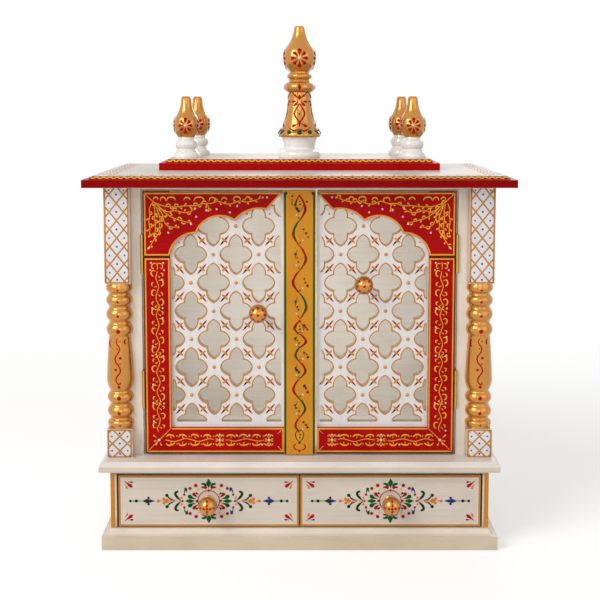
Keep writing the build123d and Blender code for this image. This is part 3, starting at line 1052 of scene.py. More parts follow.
    @staticmethod
    def anchor(gold: Brush, pale: Brush, top: Point) -> None:
        """Draws the head of an upright vine: a stem with two hooks that hang from it.

        Args:
            gold: The brush for the stem and hooks.
            pale: The brush for the dots.
            top: The stem's upper end.
        """
        gold.placed(top).line([(0.0, 0.0), (0.4, -6.0), (0.0, -11.0)], 1.3)
        for side in (-1, 1):
            gold.placed(top, side).swell([(0.0, -3.0), (4.5, -1.6), (7.8, -5.0), (6.6, -9.0), (4.2, -8.0)], 1.8)
            pale.placed(top, side).dot((9.0, -1.0), 1.3)
            pale.placed(top, side).dot((10.0, -11.5), 1.2)

    def branches(self, gold: Brush, pale: Brush, seed: int) -> None:
        """Draws the branches that spread over the arch from its outer top corner.

        Args:
            gold: The brush for the branches.
            pale: The brush for the dots.
            seed: The number that settles their leaves.
        """
        rng = random.Random(seed)
        corner = Vector((self.sign * self.frame_outer, self.arch[1].z))

        def at(u: float, v: float) -> Vector:
            """A point by its distances from the corner."""
            return corner + Vector((-self.sign * u, -v))

        for run in ARCH_BRANCHES:
            points = [at(u, v) for u, v in run]
            gold.line(points, 1.3, 0.9, 0.6)
            self.leaflets(gold, points, rng)
        for number, (u, v, width) in enumerate(TOP_ARCS):
            half, drop = width / 2, 3.4 if number % 3 else 2.2
            arc = ((-half, drop), (-0.6 * half, -1.2), (0.1 * half, -1.8), (0.7 * half, -0.6), (half, drop * 0.8))
            gold.swell([at(u + du, v + dv) for du, dv in arc], 2.5, 0.35, 0.5)
        for u, v in ARCH_DOTS:
            if self.inside_arch(at(u, v)):
                pale.dot(at(u, v), 1.5)
        pale.line([at(2.4, 2.4), at(7, 7)], 1.6)

    def inside_arch(self, at: Vector) -> bool:
        """Whether a point lies on the arch board, clear of its border.

        Args:
            at: The point's x and z (mm).

        Returns:
            Whether all points round it lie on the board.
        """
        for dx, dz in ((0, 0), (2.6, -2.6), (-2.6, -2.6), (0, -3.4), (0, 3.4)):
            if struck(self.over, at.x + dx, at.y + dz) is None or at.y + dz < self.arch[0].z + 1.5:
                return False
        return abs(at.x) > self.meeting + 3

    def leaflets(self, gold: Brush, run: list[Vector], rng: random.Random) -> None:
        """Draws fat drops and hooks along both sides of a branch, clear of its root.

        Args:
            gold: The brush.
            run: The branch's points.
            rng: What settles their places.
        """
        side = rng.choice((-1, 1))
        for number, (a, b) in enumerate(zip(run, run[1:])):
            length, way, across = heading(a, b)
            steps = max(1, round(length / 6.4))
            for k in range(steps):
                root = a.lerp(b, (k + 0.5) / steps)
                side = -side
                out, on = across * side * rng.uniform(2.6, 3.8), way * rng.uniform(2.6, 4.2)
                clear = self.inside_arch(root + out + on) and self.inside_arch(root + out)
                if number == 0 or not clear:
                    continue
                if rng.random() < 0.55:
                    gold.leaf(root, root + out + on, 2.5, 0.16 * side)
                else:
                    hook = [root, root + out * 0.9, root + out + on * 0.9, root + out * 0.5 + on * 1.3]
                    gold.swell(hook, 2.1, 0.3, 0.8)
        end = run[-1] + heading(run[-2], run[-1])[1] * 1.5
        if self.inside_arch(end):
            gold.dot(end, 1.6)


STRIP_SWINGS = (
    (7.8, 43.0, 7.6), (43.0, 80.0, -8.4), (80.0, 116.0, 8.4), (116.0, 149.0, -8.8), (149.0, 187.0, 9.0),
    (190.0, 209.0, -7.0), (209.0, 229.0, 8.4), (229.0, 250.0, -5.5), (250.0, 275.0, 7.8), (275.0, 305.0, -8.2),
    (305.0, 333.0, 7.4), (333.0, 355.0, -5.5),
)


@dataclass
class CentreStrip:
    """The gold strip over the doors' meeting, with green side lines and a sinuous vine.

    Attributes:
        line_width: The width of the green lines (mm).
        line_inset: How far their middles lie from the strip's edges (mm).
        ovals: How far down from the strip's top the two hanging ovals begin (mm).
    """

    line_width: float = 2.6
    line_inset: float = 2.1
    ovals: tuple[float, float] = (8.0, 190.0)

    def build(self) -> None:
        """Dresses the strip and paints its lines and vine."""
        low, high = limits("centre_strip")
        ochre = Paint(
            "strip_ochre", Shade.OCHRE, roughness=0.36, metallic=0.1, coat=0.0, gloss=0.15, mottle=0.12,
            brush=ALONG_Z, second=Shade.TAN_CREAM, halves=(Half(1, 1, low.y + 0.3),),
        )
        dress(ochre, ["centre_strip"])
        work = Ornament("centre_strip", "left_door", low.y, weight=1.25)
        green, gold = work.brush(GREEN_LINE), work.brush(GOLD_LINE)
        for side in (-1, 1):
            x = side * (high.x - self.line_inset)
            green.line([(x, high.z - 4.2), (x, high.z / 2 + low.z / 2), (x, low.z + 0.6)], self.line_width, 0.8, 0.9)
            green.dot((x - side * 1.2, high.z - 4.0), 1.9)
            gold.line([(side * (high.x - 0.45), high.z - 0.6), (side * (high.x - 0.45), low.z + 0.5)], 0.9, 1.0, 1.0)
        gold.line([(-high.x + 1, high.z - 1.1), (high.x - 1, high.z - 1.1)], 1.8, 0.9, 0.9)
        self.vine(work, low.z + 14, high.z)
        work.finish()

    def vine(self, work: Ornament, foot: float, head: float) -> None:
        """Draws the sinuous vine: swings that change colour, with strokes and dots in their hollows.

        Args:
            work: The ornament that it goes into.
            foot: The height of its foot.
            head: The height that its swings are measured down from.
        """
        rng = random.Random(5)
        red, green, dark = work.brush(RED_LINE), work.brush(GREEN_LINE), work.brush(DARK_LINE)
        cream, yellow = work.brush(WHITE_LINE), work.brush(YELLOW_LINE)
        for number, (start, end, bow) in enumerate(STRIP_SWINGS):
            side = 1 if bow > 0 else -1
            top, step = head - start, end - start

            def at(share: float, out: float) -> Point:
                """A point of the swing, from its head down and out from the middle."""
                return out * side, top - share * step

            main = [at(share, abs(bow) * out) for share, out in ((0, 0), (0.16, 0.55), (0.5, 1), (0.85, 0.5), (1, 0))]
            first = (red, green, red)[number % 3]
            second = (dark, red, green)[number % 3]
            first.line(main[:4], 2.7, 0.5, 0.6)
            second.line(main[3:], 2.2, 1.0, 0.5)
            outer = [at(0.18, 3.6), at(0.4, abs(bow) + 0.8), at(0.62, abs(bow) + 1.2), at(0.96, 1.2)]
            second.swell(outer, 1.9, 0.2, 0.3)
            yellow.swell([at(0.3, abs(bow) - 2.2), at(0.55, abs(bow) - 1.6), at(0.8, 1.4)], 1.0)
            if number % 2 == 0:
                dark.swell([at(0.1, -2.0), at(0.34, -5.6), at(0.56, -6.6)], 1.1)
            for k, share in enumerate((0.34, 0.5, 0.64)):
                where = at(share + rng.uniform(-0.03, 0.03), -6.4 + 2.6 * k * (-1) ** number + rng.uniform(-0.8, 0.8))
                brush = (green, dark, green, red)[(number + k) % 4]
                brush.dot(where, rng.uniform(1.1, 1.9))
            cream.dot(at(0.78, -4.6), 0.9)
            red.leaf(at(0.94, 1.2), at(0.86, -2.2), 1.8, 0.2)
        for down in self.ovals:
            self.oval(red, green, dark, yellow, head - down, -1)
        self.oval(green, red, dark, yellow, foot + 4, 1)
        for side in (-1, 1):
            red.placed((0.0, foot), side).swell([(4.0, 3.0), (8.2, -1.0), (6.4, -6.0), (2.0, -7.4)], 2.0)
        red.dot((0.0, foot - 8.4), 1.6)
        dark.line([(-10.8, head - 12), (-11.0, head - 22)], 2.2)
        dark.dot((-10.6, head - 8), 1.2)
        green.dot((10.4, head - 16), 1.4)

    @staticmethod
    def oval(red: Brush, green: Brush, dark: Brush, gold: Brush, z: float, up: int) -> None:
        """Draws a pointed ring of two strokes with a dotted middle.

        Args:
            red: The brush for its right side and its root.
            green: The brush for its middle.
            dark: The brush for its left side.
            gold: The brush for the stroke inside it.
            z: The height of its root.
            up: 1 where it stands on its root and -1 where it hangs.
        """
        for side, brush in ((-1, dark), (1, red)):
            brush.placed((0.0, z), side, up).swell([(0.3, 0.0), (4.4, 6.0), (6.0, 12.0), (1.8, 21.0)], 1.6, 0.35, 0.3)
        gold.placed((0.0, z), 1, up).swell([(0.5, 3.0), (-2.4, 8.0), (0.0, 14.0)], 1.1)
        for brush, at, radius in ((green, (0.6, 12.0), 1.3), (red, (0.0, 0.0), 1.7), (dark, (0.2, 7.5), 0.9)):
            brush.placed((0.0, z), 1, up).dot(at, radius)


BELLY_WAVE = (
    (-0.9, 134.0), (-3.3, 128.4), (1.8, 118.3), (-5.2, 103.5), (2.8, 86.9), (-3.9, 73.9), (-1.6, 67.8), (1.4, 66.6),
    (2.2, 70.0),
)


@dataclass
class HalfColumn:
    """A turned half column with painted blocks.

    Attributes:
        side: "left" or "right".
        block: The width of its blocks (mm).
        foot_height: The height of the lower block (mm).
        head_height: The height of the upper block (mm).
        line: The width of the gold lines (mm).
    """

    side: str
    block: float = 37.0
    foot_height: float = 42.6
    head_height: float = 140.6
    line: float = 2.5

    def build(self) -> None:
        """Dresses the column and paints its blocks and shaft."""
        node = self.side + "_column"
        low, high = limits(node)
        self.low, self.high = low.z, high.z
        self.x = (low.x + high.x) / 2
        self.front = high.y - self.block / 2
        self.foot_top, self.head_foot = low.z + self.foot_height, high.z - self.head_height
        blocks = (Half(2, -1, self.foot_top), Half(2, 1, self.head_foot))
        dress(turned_gold(node + "_paint", 0.27, 0.5, Shade.WHITE, *blocks), [node])
        for number, (foot, head) in enumerate(((self.low, self.foot_top), (self.head_foot, self.high))):
            self.block_front(node, number, foot, head)
            self.block_sides(node, number, foot, head)
        self.shaft(node)

    def diamonds(self, work: Ornament, centre: Point, cell: Point, foot: float, head: float) -> None:
        """Draws a gold diamond lattice inside a frame, with a dot in each diamond.

        Args:
            work: The ornament that it goes into.
            centre: The middle of one diamond.
            cell: Half a diamond's width and height.
            foot: The frame's lower edge.
            head: The frame's upper edge.
        """
        gold, rust, red = work.brush(DARK_GOLD), work.brush(RUST_DOT), work.brush(RED_LINE)
        half = self.block / 2 - 1.9
        x, z = centre
        frame_line = [(x - half, foot), (x + half, foot), (x + half, head), (x - half, head), (x - half, foot)]
        for pair in zip(frame_line, frame_line[1:]):
            gold.line(pair, self.line, 1.0, 1.0)
        slope = cell[1] / cell[0]
        for k in range(-15, 16, 2):
            for way in (-1, 1):
                ends = self.clip(way * slope, z + k * cell[1], half, foot, head)
                if ends:
                    gold.line([(x + u, v) for u, v in ends], self.line, 1.0, 1.0)
        for i in (-1, 0, 1):
            for j in range(-15, 16):
                v = z + j * cell[1]
                if (i + j) % 2 or not foot - 6 < v < head + 6:
                    continue
                inside = min(max(v, foot + 4.3), head - 4.3)
                brush = red if (i, j % 4) == (0, 2) else rust
                brush.dot((x + 1.06 * i * cell[0], inside), 1.6 if i == 0 else 1.35)

    @staticmethod
    def clip(slope: float, base: float, half: float, foot: float, head: float) -> list[Point]:
        """The stretch of a sloping line that lies inside a frame.

        Args:
            slope: The line's slope.
            base: Its height in the frame's middle.
            half: Half the frame's width.
            foot: The frame's lower edge.
            head: The frame's upper edge.

        Returns:
            The stretch's two ends, or nothing where it is too short.
        """
        reach = sorted(((foot - base) / slope, (head - base) / slope))
        start, end = max(-half, reach[0]), min(half, reach[1])
        if end - start < 1.5:
            return []
        return [(start, base + slope * start), (end, base + slope * end)]

    def block_front(self, node: str, number: int, foot: float, head: float) -> None:
        """Paints the front of a block.

        Args:
            node: The column's node.
            number: 0 for the lower block and 1 for the upper one.
            foot: Its lower edge.
            head: Its upper edge.
        """
        work = Ornament(f"{node}_block_{number}", "cabinet", self.front)
        if number == 0:
            self.diamonds(work, (self.x, (foot + head) / 2), (10.8, 10.6), foot + 1.6, head - 1.6)
        else:
            self.diamonds(work, (self.x, head - 36.8), (10.2, 12.5), foot + 1.6, head - 1.6)
            half = self.block / 2 - 1.2
            work.brush(DARK_GOLD).line([(self.x - half, head - 1.7), (self.x + half, head - 1.7)], 3.0, 1.0, 1.0)
        work.finish()

    def block_sides(self, node: str, number: int, foot: float, head: float) -> None:
        """Paints gold lines on the two sides of a block.

        Args:
            node: The column's node.
            number: 0 for the lower block and 1 for the upper one.
            foot: Its lower edge.
            head: Its upper edge.
        """
        depth = self.block / 2
        for facing, plane in ((Facing.LEFT, self.x - depth), (Facing.RIGHT, self.x + depth)):
            work = Ornament(f"{node}_block_{number}_{facing.name.lower()}", "cabinet", plane, facing)
            turn = -1 if facing is Facing.LEFT else 1
            near, far = turn * (self.front + 2.0), turn * (self.front + depth - 2.0)
            gold = work.brush(DARK_GOLD)
            for u in (near, far):
                gold.line([(u, foot + 1.9), (u, head - 1.9)], self.line, 1.0, 1.0)
            for v in (foot + 1.9, head - 1.9):
                gold.line([(near, v), (far, v)], self.line, 1.0, 1.0)
            work.finish()

    def shaft(self, node: str) -> None:
        """Paints the red line on the belly and a dot on each bead.

        Args:
            node: The column's node.
        """
        work = Ornament(node + "_shaft", "cabinet", weight=1.25)
        red, rust = work.hold((RED_LINE, RUST_DOT), (self.x, self.foot_top))
        for v, radius in ((204, 1.4), (187, 1.5), (166.5, 1.6), (144.2, 2.5), (45.7, 2.4), (23.1, 2.0), (62.4, 1.9)):
            red.dot((0.0, v), radius)
        rust.dot((1.0, 5.5), 1.3)
        red.swell(BELLY_WAVE, 1.9, 0.6, 0.9)
        for u, v, radius in ((2.4, 105, 1.7), (-4.2, 87.8, 1.6)):
            red.dot((u, v), radius)
        for at in ((2.0, 129.4), (-1.7, 118.4), (1.9, 96.4)):
            rust.dot(at, 1.0)
        for u, high, low in ((-12.4, 131.5, 120), (9.6, 132.3, 124.6)):
            red.swell([(u, high), (u - 1.3, (high + low) / 2), (u, low)], 2.3, 0.5, 0.6)
        work.finish(on=surface_of([node]))


@dataclass
class Finial:
    """A turned finial with a white foot and painted gold above it.

    Attributes:
        node: The CAD node.
        large: Whether it is a tall one.
        ring: The radius of the ring above a tall one's foot (mm).
    """

    node: str
    large: bool
    ring: float = 31.5

    def build(self) -> None:
        """Dresses the finial and paints its flowers."""
        low, high = limits(self.node)
        foot, tall = low.z, high.z - low.z
        self.centre = ((low.x + high.x) / 2, (low.y + high.y) / 2)
        gold_from = foot + (0.162 if self.large else 0.335) * tall
        size = "tall" if self.large else "short"
        dress(turned_gold(size + "_finial_paint", 0.25, 0.6, Shade.SHELL, Half(2, -1, gold_from)), [self.node])
        work = Ornament(self.node, "cabinet", weight=1.3)
        if self.large:
            self.flower(work, foot + 0.757 * tall, 14.6, 3.6, 4.9)
            self.bell(work, foot, tall)
            self.ring_dots(work, foot + 0.2 * tall)
        else:
            self.flower(work, foot + 0.53 * tall, 12.2, 2.8, 4.1)
        work.finish(on=surface_of([self.node]), centre=self.centre, turns=4)

    def flower(self, work: Ornament, z: float, reach: float, start: float, width: float) -> None:
        """Draws an eight-petalled red flower with a pale middle.

        Args:
            work: The ornament that it goes into.
            z: The height of its middle.
            reach: How far its longest petals reach.
            start: How far from its middle they start.
            width: Their width.
        """
        red, pale = work.hold((RED_LINE, SILVER_DOT), (self.centre[0], z))
        for k in range(8):
            angle = math.pi * k / 4
            way = Vector((math.sin(angle), math.cos(angle)))
            red.leaf(way * start, way * reach * (1.0 if k % 4 == 0 else 0.88), width)
        pale.dot((0.0, 0.0), 1.5, 0.5)

    def bell(self, work: Ornament, foot: float, tall: float) -> None:
        """Draws the leaf figure on the bell and the diamond on the collar.

        Args:
            work: The ornament that they go into.
            foot: The height of the finial's foot.
            tall: Its whole height.
        """
        top, collar = (self.centre[0], foot + 0.47 * tall), 0.07 * tall
        red = work.hold((RED_LINE, DARK_LINE), top)[0]
        red.drop([(0.0, collar + 4.6), (0.0, collar), (0.0, collar - 4.6)], 4.6)
        red.drop([(0.0, 2.4), (0.0, -1.5), (0.0, -5.4)], 4.6)
        red.drop([(0.0, -37.0), (0.0, -41.0), (0.0, -46.0)], 3.0)
        for side in (-1, 1):
            red, dark = work.hold((RED_LINE, DARK_LINE), top, side)
            dark.line([(12.5, 8.0), (4.8, -1.6)], 2.2)
            red.leaf((2.4, -1.8), (8.2, 2.4), 3.2)
            red.leaf((2.6, -5.0), (8.8, -14.0), 3.4, -0.15)
            red.swell([(0.0, -11.0), (7.6, -25.0), (7.2, -29.0), (0.0, -40.0)], 2.6, 0.6, 0.6)
            red.leaf((2.2, -41.5), (11.5, -46.0), 3.6)
            red.swell([(17.0, -47.0), (9.0, -52.0), (0.0, -49.5)], 2.4)
            red.dot((15.5, -8.0), 1.4)
        red.dot((0.0, -27.0), 1.2)

    def ring_dots(self, work: Ornament, z: float) -> None:
        """Draws green dots round the ring, three in each quarter turn.

        Args:
            work: The ornament that they go into.
            z: The ring's height.
        """
        green = work.brush(GREEN_LINE).placed((self.centre[0], z))
        for degrees in (-30, 0, 30):
            green.dot((self.ring * math.sin(math.radians(degrees)), 0.0), 2.5 if degrees else 2.9)


@dataclass
class Roof:
    """The roof board and its tier: red edges with a waved yellow line, cream tops with borders.

    Attributes:
        wave_pitch: The length of one wave (mm).
        wave_height: How far the line swings (mm).
        line: The line's width (mm).
        slope: How far the edge moulding reaches in from the edge (mm).
        wave_inset: How far in from the edge the waved line runs (mm).
        border: The width of the top's white line, partly a painted border and partly a painted highlight where the
            top meets the slope (mm).
    """

    wave_pitch: float = 9.6
    wave_height: float = 0.9
    line: float = 1.9
    slope: float = 15.0
    wave_inset: float = 10.8
    border: float = 2.4

    def build(self) -> None:
        """Dresses both boards and paints their lines."""
        for node, shade in (("roof_board", Shade.RED), ("roof_tier", Shade.TIER_RED)):
            low, high = limits(node)
            paint = Paint(
                node + "_enamel", shade, gloss=0.03, coat=0.0, mottle=0.12, streak=0.08, brush=ALONG_X,
                second=Shade.PEARL,
                halves=(Half(2, 1, high.z - 0.25), Half(2, -1, low.z + 0.2), Half(1, 1, high.y - 0.3)),
            )
            dress(paint, [node])
            self.waves(node, low, high)
            self.top(node, low, high)

    def waves(self, node: str, low: Vector, high: Vector) -> None:
        """Draws the waved line along the moulded slope, on the front and both sides.

        Args:
            node: The board.
            low: Its lowest corner.
            high: Its highest corner.
        """
        work = Ornament(node + "_wave", "cabinet", facing=Facing.TOP)
        brush = work.brush(YELLOW_LINE)
        inset = self.wave_inset
        rng = random.Random(31)
        left, right, front, back = low.x + inset, high.x - inset, low.y + inset, high.y - 2
        for start, end in (
            ((left, front), (right, front)), ((left, back), (left, front)), ((right, front), (right, back)),
        ):
            length, way, side = heading(start, end)
            knots = round(2 * length / self.wave_pitch)
            points = []
            for k in range(knots + 1):
                swing = self.wave_height * (-1) ** k * rng.uniform(0.7, 1.2)
                points.append(Vector(start) + way * length * k / knots + side * swing)
            brush.line(points, self.line, 0.7, 0.7)
        work.finish(on=surface_of([node]))

    def top(self, node: str, low: Vector, high: Vector) -> None:
        """Paints the border of the cream top.

        Args:
            node: The board.
            low: Its lowest corner.
            high: Its highest corner.
        """
        work = Ornament(node + "_top", "cabinet", high.z, Facing.TOP)
        edge = self.slope + 1.6
        # The white line along the top's edge is partly the board's border and partly a painted highlight where the
        # top meets the moulded slope.
        frames = [(work.brush(WHITE_LINE), edge, self.border)]
        if node == "roof_board":
            orange = work.brush(ORANGE_LINE)
            frames.append((orange, edge + 22.0, 1.2))
            self.top_vine(orange, work.brush(RED_LINE), low, high, edge + 12.0)
        for brush, inset, width in frames:
            left, right, front = low.x + inset, high.x - inset, low.y + inset
            corners = [(left, high.y - 3), (left, front), (right, front), (right, high.y - 3)]
            for side in zip(corners, corners[1:]):
                brush.line(side, width, 1.0, 1.0)
        work.finish()

    def top_vine(self, orange: Brush, red: Brush, low: Vector, high: Vector, inset: float) -> None:
        """Draws small leaves and dots between the two border lines.

        Args:
            orange: The brush for the leaves.
            red: The brush for the dots.
            low: The board's lowest corner.
            high: Its highest corner.
            inset: How far they lie from its edges (mm).
        """
        rng = random.Random(47)
        left, right, front, back = low.x + inset, high.x - inset, low.y + inset, high.y - 12
        for start, end in (
            ((left, back), (left, front + 8)), ((left, front), (right, front)), ((right, front + 8), (right, back)),
        ):
            length, way, side = heading(start, end)
            count = round(length / 15)
            for k in range(count):
                middle = Vector(start) + way * length * (k + 0.5) / count
                turn = 1 if k % 2 else -1
                orange.swell([middle - way * 7, middle + side * 3 * turn, middle + way * 7], 1.3)
                orange.leaf(middle, middle - side * 5.2 * turn + way * rng.uniform(-2, 2), 2.2, 0.1)
                red.dot(middle + side * 6.0 * turn, 1.2)


@dataclass
class Drawer:
    """A drawer's front with its painted bouquet.

    Attributes:
        side: "left" or "right".
        edge: The width of the gold edge (mm).
        inner: The width of the white line inside it, a painted highlight on the front's bevel (mm).
        corner_inset: How far in the corners' drops begin (mm).
        ring: The radius of the red ring round the knob (mm).
    """

    side: str
    edge: float = 2.9
    inner: float = 1.1
    corner_inset: float = 6.5
    ring: float = 15.6

    def build(self) -> None:
        """Dresses the drawer and paints its front."""
        self.body = self.side + "_drawer"
        node = self.body + "_front"
        low, high = limits(node)
        beige = Paint(node + "_enamel", Shade.BEIGE, mottle=0.06, brush=ALONG_X)
        dress(beige, [node])
        dress(TRAY_WOOD, [self.body + "_tray"])
        Border(node, low.y, 0.0, self.edge).paint(node + "_edge", self.body, DARK_GOLD)
        # The white line inside the gold edge is a painted highlight on the front's bevel.
        Border(node, low.y, self.edge + 0.1, self.inner, height=0.15).paint(node + "_inner", self.body, WHITE_LINE)
        self.work = Ornament(node, self.body, low.y, weight=1.4)
        self.knob = (low.x + high.x) / 2, (low.z + high.z) / 2
        half_width = (high.x - low.x) / 2 - self.corner_inset
        half_height = (high.z - low.z) / 2 - self.corner_inset
        self.bouquet()
        for side in (-1, 1):
            self.spray(side)
            for up in (-1, 1):
                self.corner((self.knob[0] + side * half_width, self.knob[1] + up * half_height), side, up)
        self.work.finish()

    def bouquet(self) -> None:
        """Draws the flowers round the knob, the same above and below and on both sides."""
        paints = (RED_LINE, GREEN_LINE, ORANGE_LINE, DARK_LINE, BLUE_LINE, YELLOW_LINE)
        turns = [math.pi * k / 12 for k in range(25)]
        ring = [(self.ring * math.sin(turn), self.ring * math.cos(turn)) for turn in turns]
        self.work.hold(paints, self.knob)[0].line(ring, 1.1, 1.0, 1.0)
        for up in (-1, 1):
            red, green, *_ = self.work.hold(paints, self.knob, 1, up)
            green.stroke([(0.0, 20.0), (0.0, 27.0), (0.0, 33.0)], [1.0, 5.4, 0.8])
            red.dot((0.0, 15.8), 1.4)
            for side in (-1, 1):
                red, green, orange, dark, blue, yellow = self.work.hold(paints, self.knob, side, up)
                green.swell([(3.0, 19.0), (5.2, 24.5), (10.4, 26.0)], 3.4, 0.2, 0.6)
                red.swell([(3.4, 17.0), (6.0, 20.4), (10.6, 20.0)], 3.0, 0.2, 0.6)
                red.leaf((15.0, 5.6), (22.6, 12.6), 4.0, -0.12)
                green.leaf((19.0, 3.4), (29.6, 8.8), 4.6, -0.1)
                dark.leaf((14.4, 9.0), (18.6, 12.6), 2.4)
                yellow.swell([(12.6, 16.8), (15.6, 18.0), (16.4, 14.8)], 1.8)
                red.dot((18.6, 23.2), 1.9)
                petal = green if side < 0 else blue
                petal.leaf((31.0, 13.2), (33.4, 20.0), 3.6, 0.1 * side * up)
                petal.swell([(31.0, 15.6), (34.4, 16.0), (35.0, 11.6)], 1.8)
                red.dot((27.2, 18.8), 1.7)
                red.dot((35.6, 9.6), 1.4)
                orange.dot((39.4, 5.0), 1.2)
        for side in (-1, 1):
            red, green, orange, _, _, yellow = self.work.hold(paints, self.knob, side)
            green.stroke([(21.0, 0.0), (27.5, 0.0), (34.0, 0.0)], [1.2, 5.0, 0.8])
            core = orange if side < 0 else yellow
            core.stroke([(22.0, 0.0), (26.5, 0.0), (31.0, 0.0)], [1.6, 2.8, 0.6])
            red.dot((17.4, 0.0), 1.5)

    def spray(self, side: int) -> None:
        """Draws the long spray beside the bouquet: a stem with hooks, a fleur and a spindle.

        Args:
            side: -1 for the left one and 1 for the right one.
        """
        paints = (ORANGE_LINE, LEAF_GREEN, RED_LINE, BLUE_LINE, DARK_LINE)
        orange, green, red, blue, _ = self.work.hold(paints, self.knob, side)
        orange.line([(38.5, 0.0), (55.0, 0.2), (70.0, 0.0)], 1.2)
        red.dot((38.0, 0.0), 1.3)
        for up in (-1, 1):
            fleur, hook, _, _, dark = self.work.hold(paints, self.knob, side, up)
            hook.swell([(40.0, 0.8), (45.6, 5.5), (48.4, 12.0), (44.2, 14.6)], 3.2, 0.2, 0.7)
            hook.swell([(49.0, 1.0), (56.0, 3.2), (60.4, 8.0)], 2.0, 0.2, 0.6)
            hook.dot((60.8, 8.4), 1.8)
            fleur.leaf((60.0, 0.6), (66.8, 4.8), 3.2, -0.1)
            fleur.leaf((57.0, 0.4), (62.4, 3.0), 2.2)
            dark.dot((87.6, 4.6), 1.4)
        orange.leaf((68.0, 0.0), (75.6, 0.0), 3.6)
        blue.stroke([(78.6, 0.0), (85.0, 0.0), (90.0, 0.0)], [0.6, 3.8, 3.4])
        spindle = green if side < 0 else blue
        spindle.stroke([(84.0, 0.0), (90.0, 0.0), (96.5, 0.0)], [2.6, 5.2, 0.7])
        green.line([(95.0, 0.0), (104.0, 0.0), (114.5, 0.0)], 1.1)
        green.dot((105.6, 0.0), 1.7)
        green.dot((114.0, 0.0), 1.5)

    def corner(self, at: Point, side: int, up: int) -> None:
        """Draws three drops in a corner: two red and one orange.

        Args:
            at: The corner.
            side: -1 for a left one and 1 for a right one.
            up: -1 for a lower one and 1 for an upper one.
        """
        red, orange = self.work.hold((RED_LINE, ORANGE_LINE), at, -side, -up)
        red.leaf((2.0, 1.6), (13.6, 10.6), 3.8)
        red.leaf((7.4, 2.8), (14.6, 3.4), 2.2)
        orange.leaf((3.0, 6.0), (6.6, 13.0), 2.5)


@dataclass
class Knob:
    """A turned knob with red dots on its ball.

    Attributes:
        node: The CAD node.
        body: The body that carries it.
        rings: The dots' angles from the knob's axis and how many there are at each.
        radius: The radius of its ball (mm).
    """

    node: str
    body: str
    rings: tuple[tuple[float, int], ...]
    radius: float = 13.6

    def build(self) -> None:
        """Dresses the knob and adds its dots."""
        dress(GOLD_KNOB, [self.node])
        low, high = limits(self.node)
        centre = Vector(((low.x + high.x) / 2, low.y + self.radius, (low.z + high.z) / 2))
        shape = bmesh.new()
        for tilt, count in self.rings:
            flat, sunk, size = (0.06, 0.12, 2.0) if tilt == 0 else (0.3, 0.1, 1.7)
            for k in range(count):
                turn = Matrix.Rotation(2 * math.pi * k / count, 4, "Y")
                lean = Matrix.Rotation(math.radians(tilt), 4, "X")
                out = Matrix.Translation((0.0, (sunk - self.radius) * MM, 0.0))
                squash = Matrix.Diagonal((1.0, flat, 1.3 if tilt else 1.0, 1.0))
                place = Matrix.Translation(centre * MM) @ turn @ lean @ out @ squash
                bmesh.ops.create_icosphere(shape, subdivisions=2, radius=size * MM, matrix=place)
        add_piece(shape, self.node + "_dots", self.body, RED_LINE)


@dataclass
class Carcass:
    """The cream boards of the cabinet and its base, and the hinges.

    Attributes:
        edge_gold: The width of the cream line inside the gold edge of the base's sides, a painted highlight along
            that edge (mm).
        shelf_light: How far the paler top of the shelf, painted light from above, comes down its edge as a painted
            highlight (mm).
        plinth_light: How far the paler top of the plinth's moulding, painted light from above, comes down (mm).
    """

    edge_gold: float = 2.4
    shelf_light: float = 6.2
    plinth_light: float = 8.5

    def build(self) -> None:
        """Dresses the boards and adds the lines on their edges."""
        dress(CREAM_X, ["base_back", "drawer_divider", "drawer_top_rail", "header_rail"])
        inner_face = (Half(1, -1, limits("back_panel")[0].y + 1),)
        back = Paint("back_panel_enamel", Shade.CREAM, brush=ALONG_X, second=Shade.STONE, halves=inner_face)
        dress(back, ["back_panel"])
        dress(CREAM_Z, ["left_side_wall", "right_side_wall"])
        # The tops of the shelf and of the plinth's moulding are painted paler for the light that falls on them from
        # above: painted light, with a painted highlight down the shelf's front edge.
        for node, shade, lit, drop in (
            ("shelf", Shade.CREAM, Shade.PEARL, self.shelf_light),
            ("plinth", Shade.PLINTH, Shade.PALE_CREAM, self.plinth_light),
        ):
            light = (Half(2, 1, limits(node)[1].z - drop),)
            dress(Paint(node + "_enamel", shade, brush=ALONG_X, second=lit, halves=light), [node])
        dress(STILE_CREAM, ["left_stile", "right_stile"])
        for side, sign in (("left", -1), ("right", 1)):
            node = f"base_{side}_side"
            low, high = limits(node)
            gold_edge = Paint(
                node + "_enamel", Shade.CREAM, brush=ALONG_Y, second=Shade.GOLD, second_metallic=0.3,
                halves=(Half(1, -1, low.y + 0.3),),
            )
            dress(gold_edge, [node])
            work = Ornament(node, "cabinet", low.y)
            # The pale line on the inner edge of the gold front is a painted highlight along that edge.
            inner = low.x if sign > 0 else high.x
            x = inner + sign * (self.edge_gold / 2 + 0.1)
            work.brush(WHITE_LINE).line([(x, low.z + 0.3), (x, high.z - 0.3)], self.edge_gold, 1.0, 1.0)
            work.finish()
            dress(BRASS, [side + "_hinge_fixed_leaves", side + "_hinge_door_leaves"])


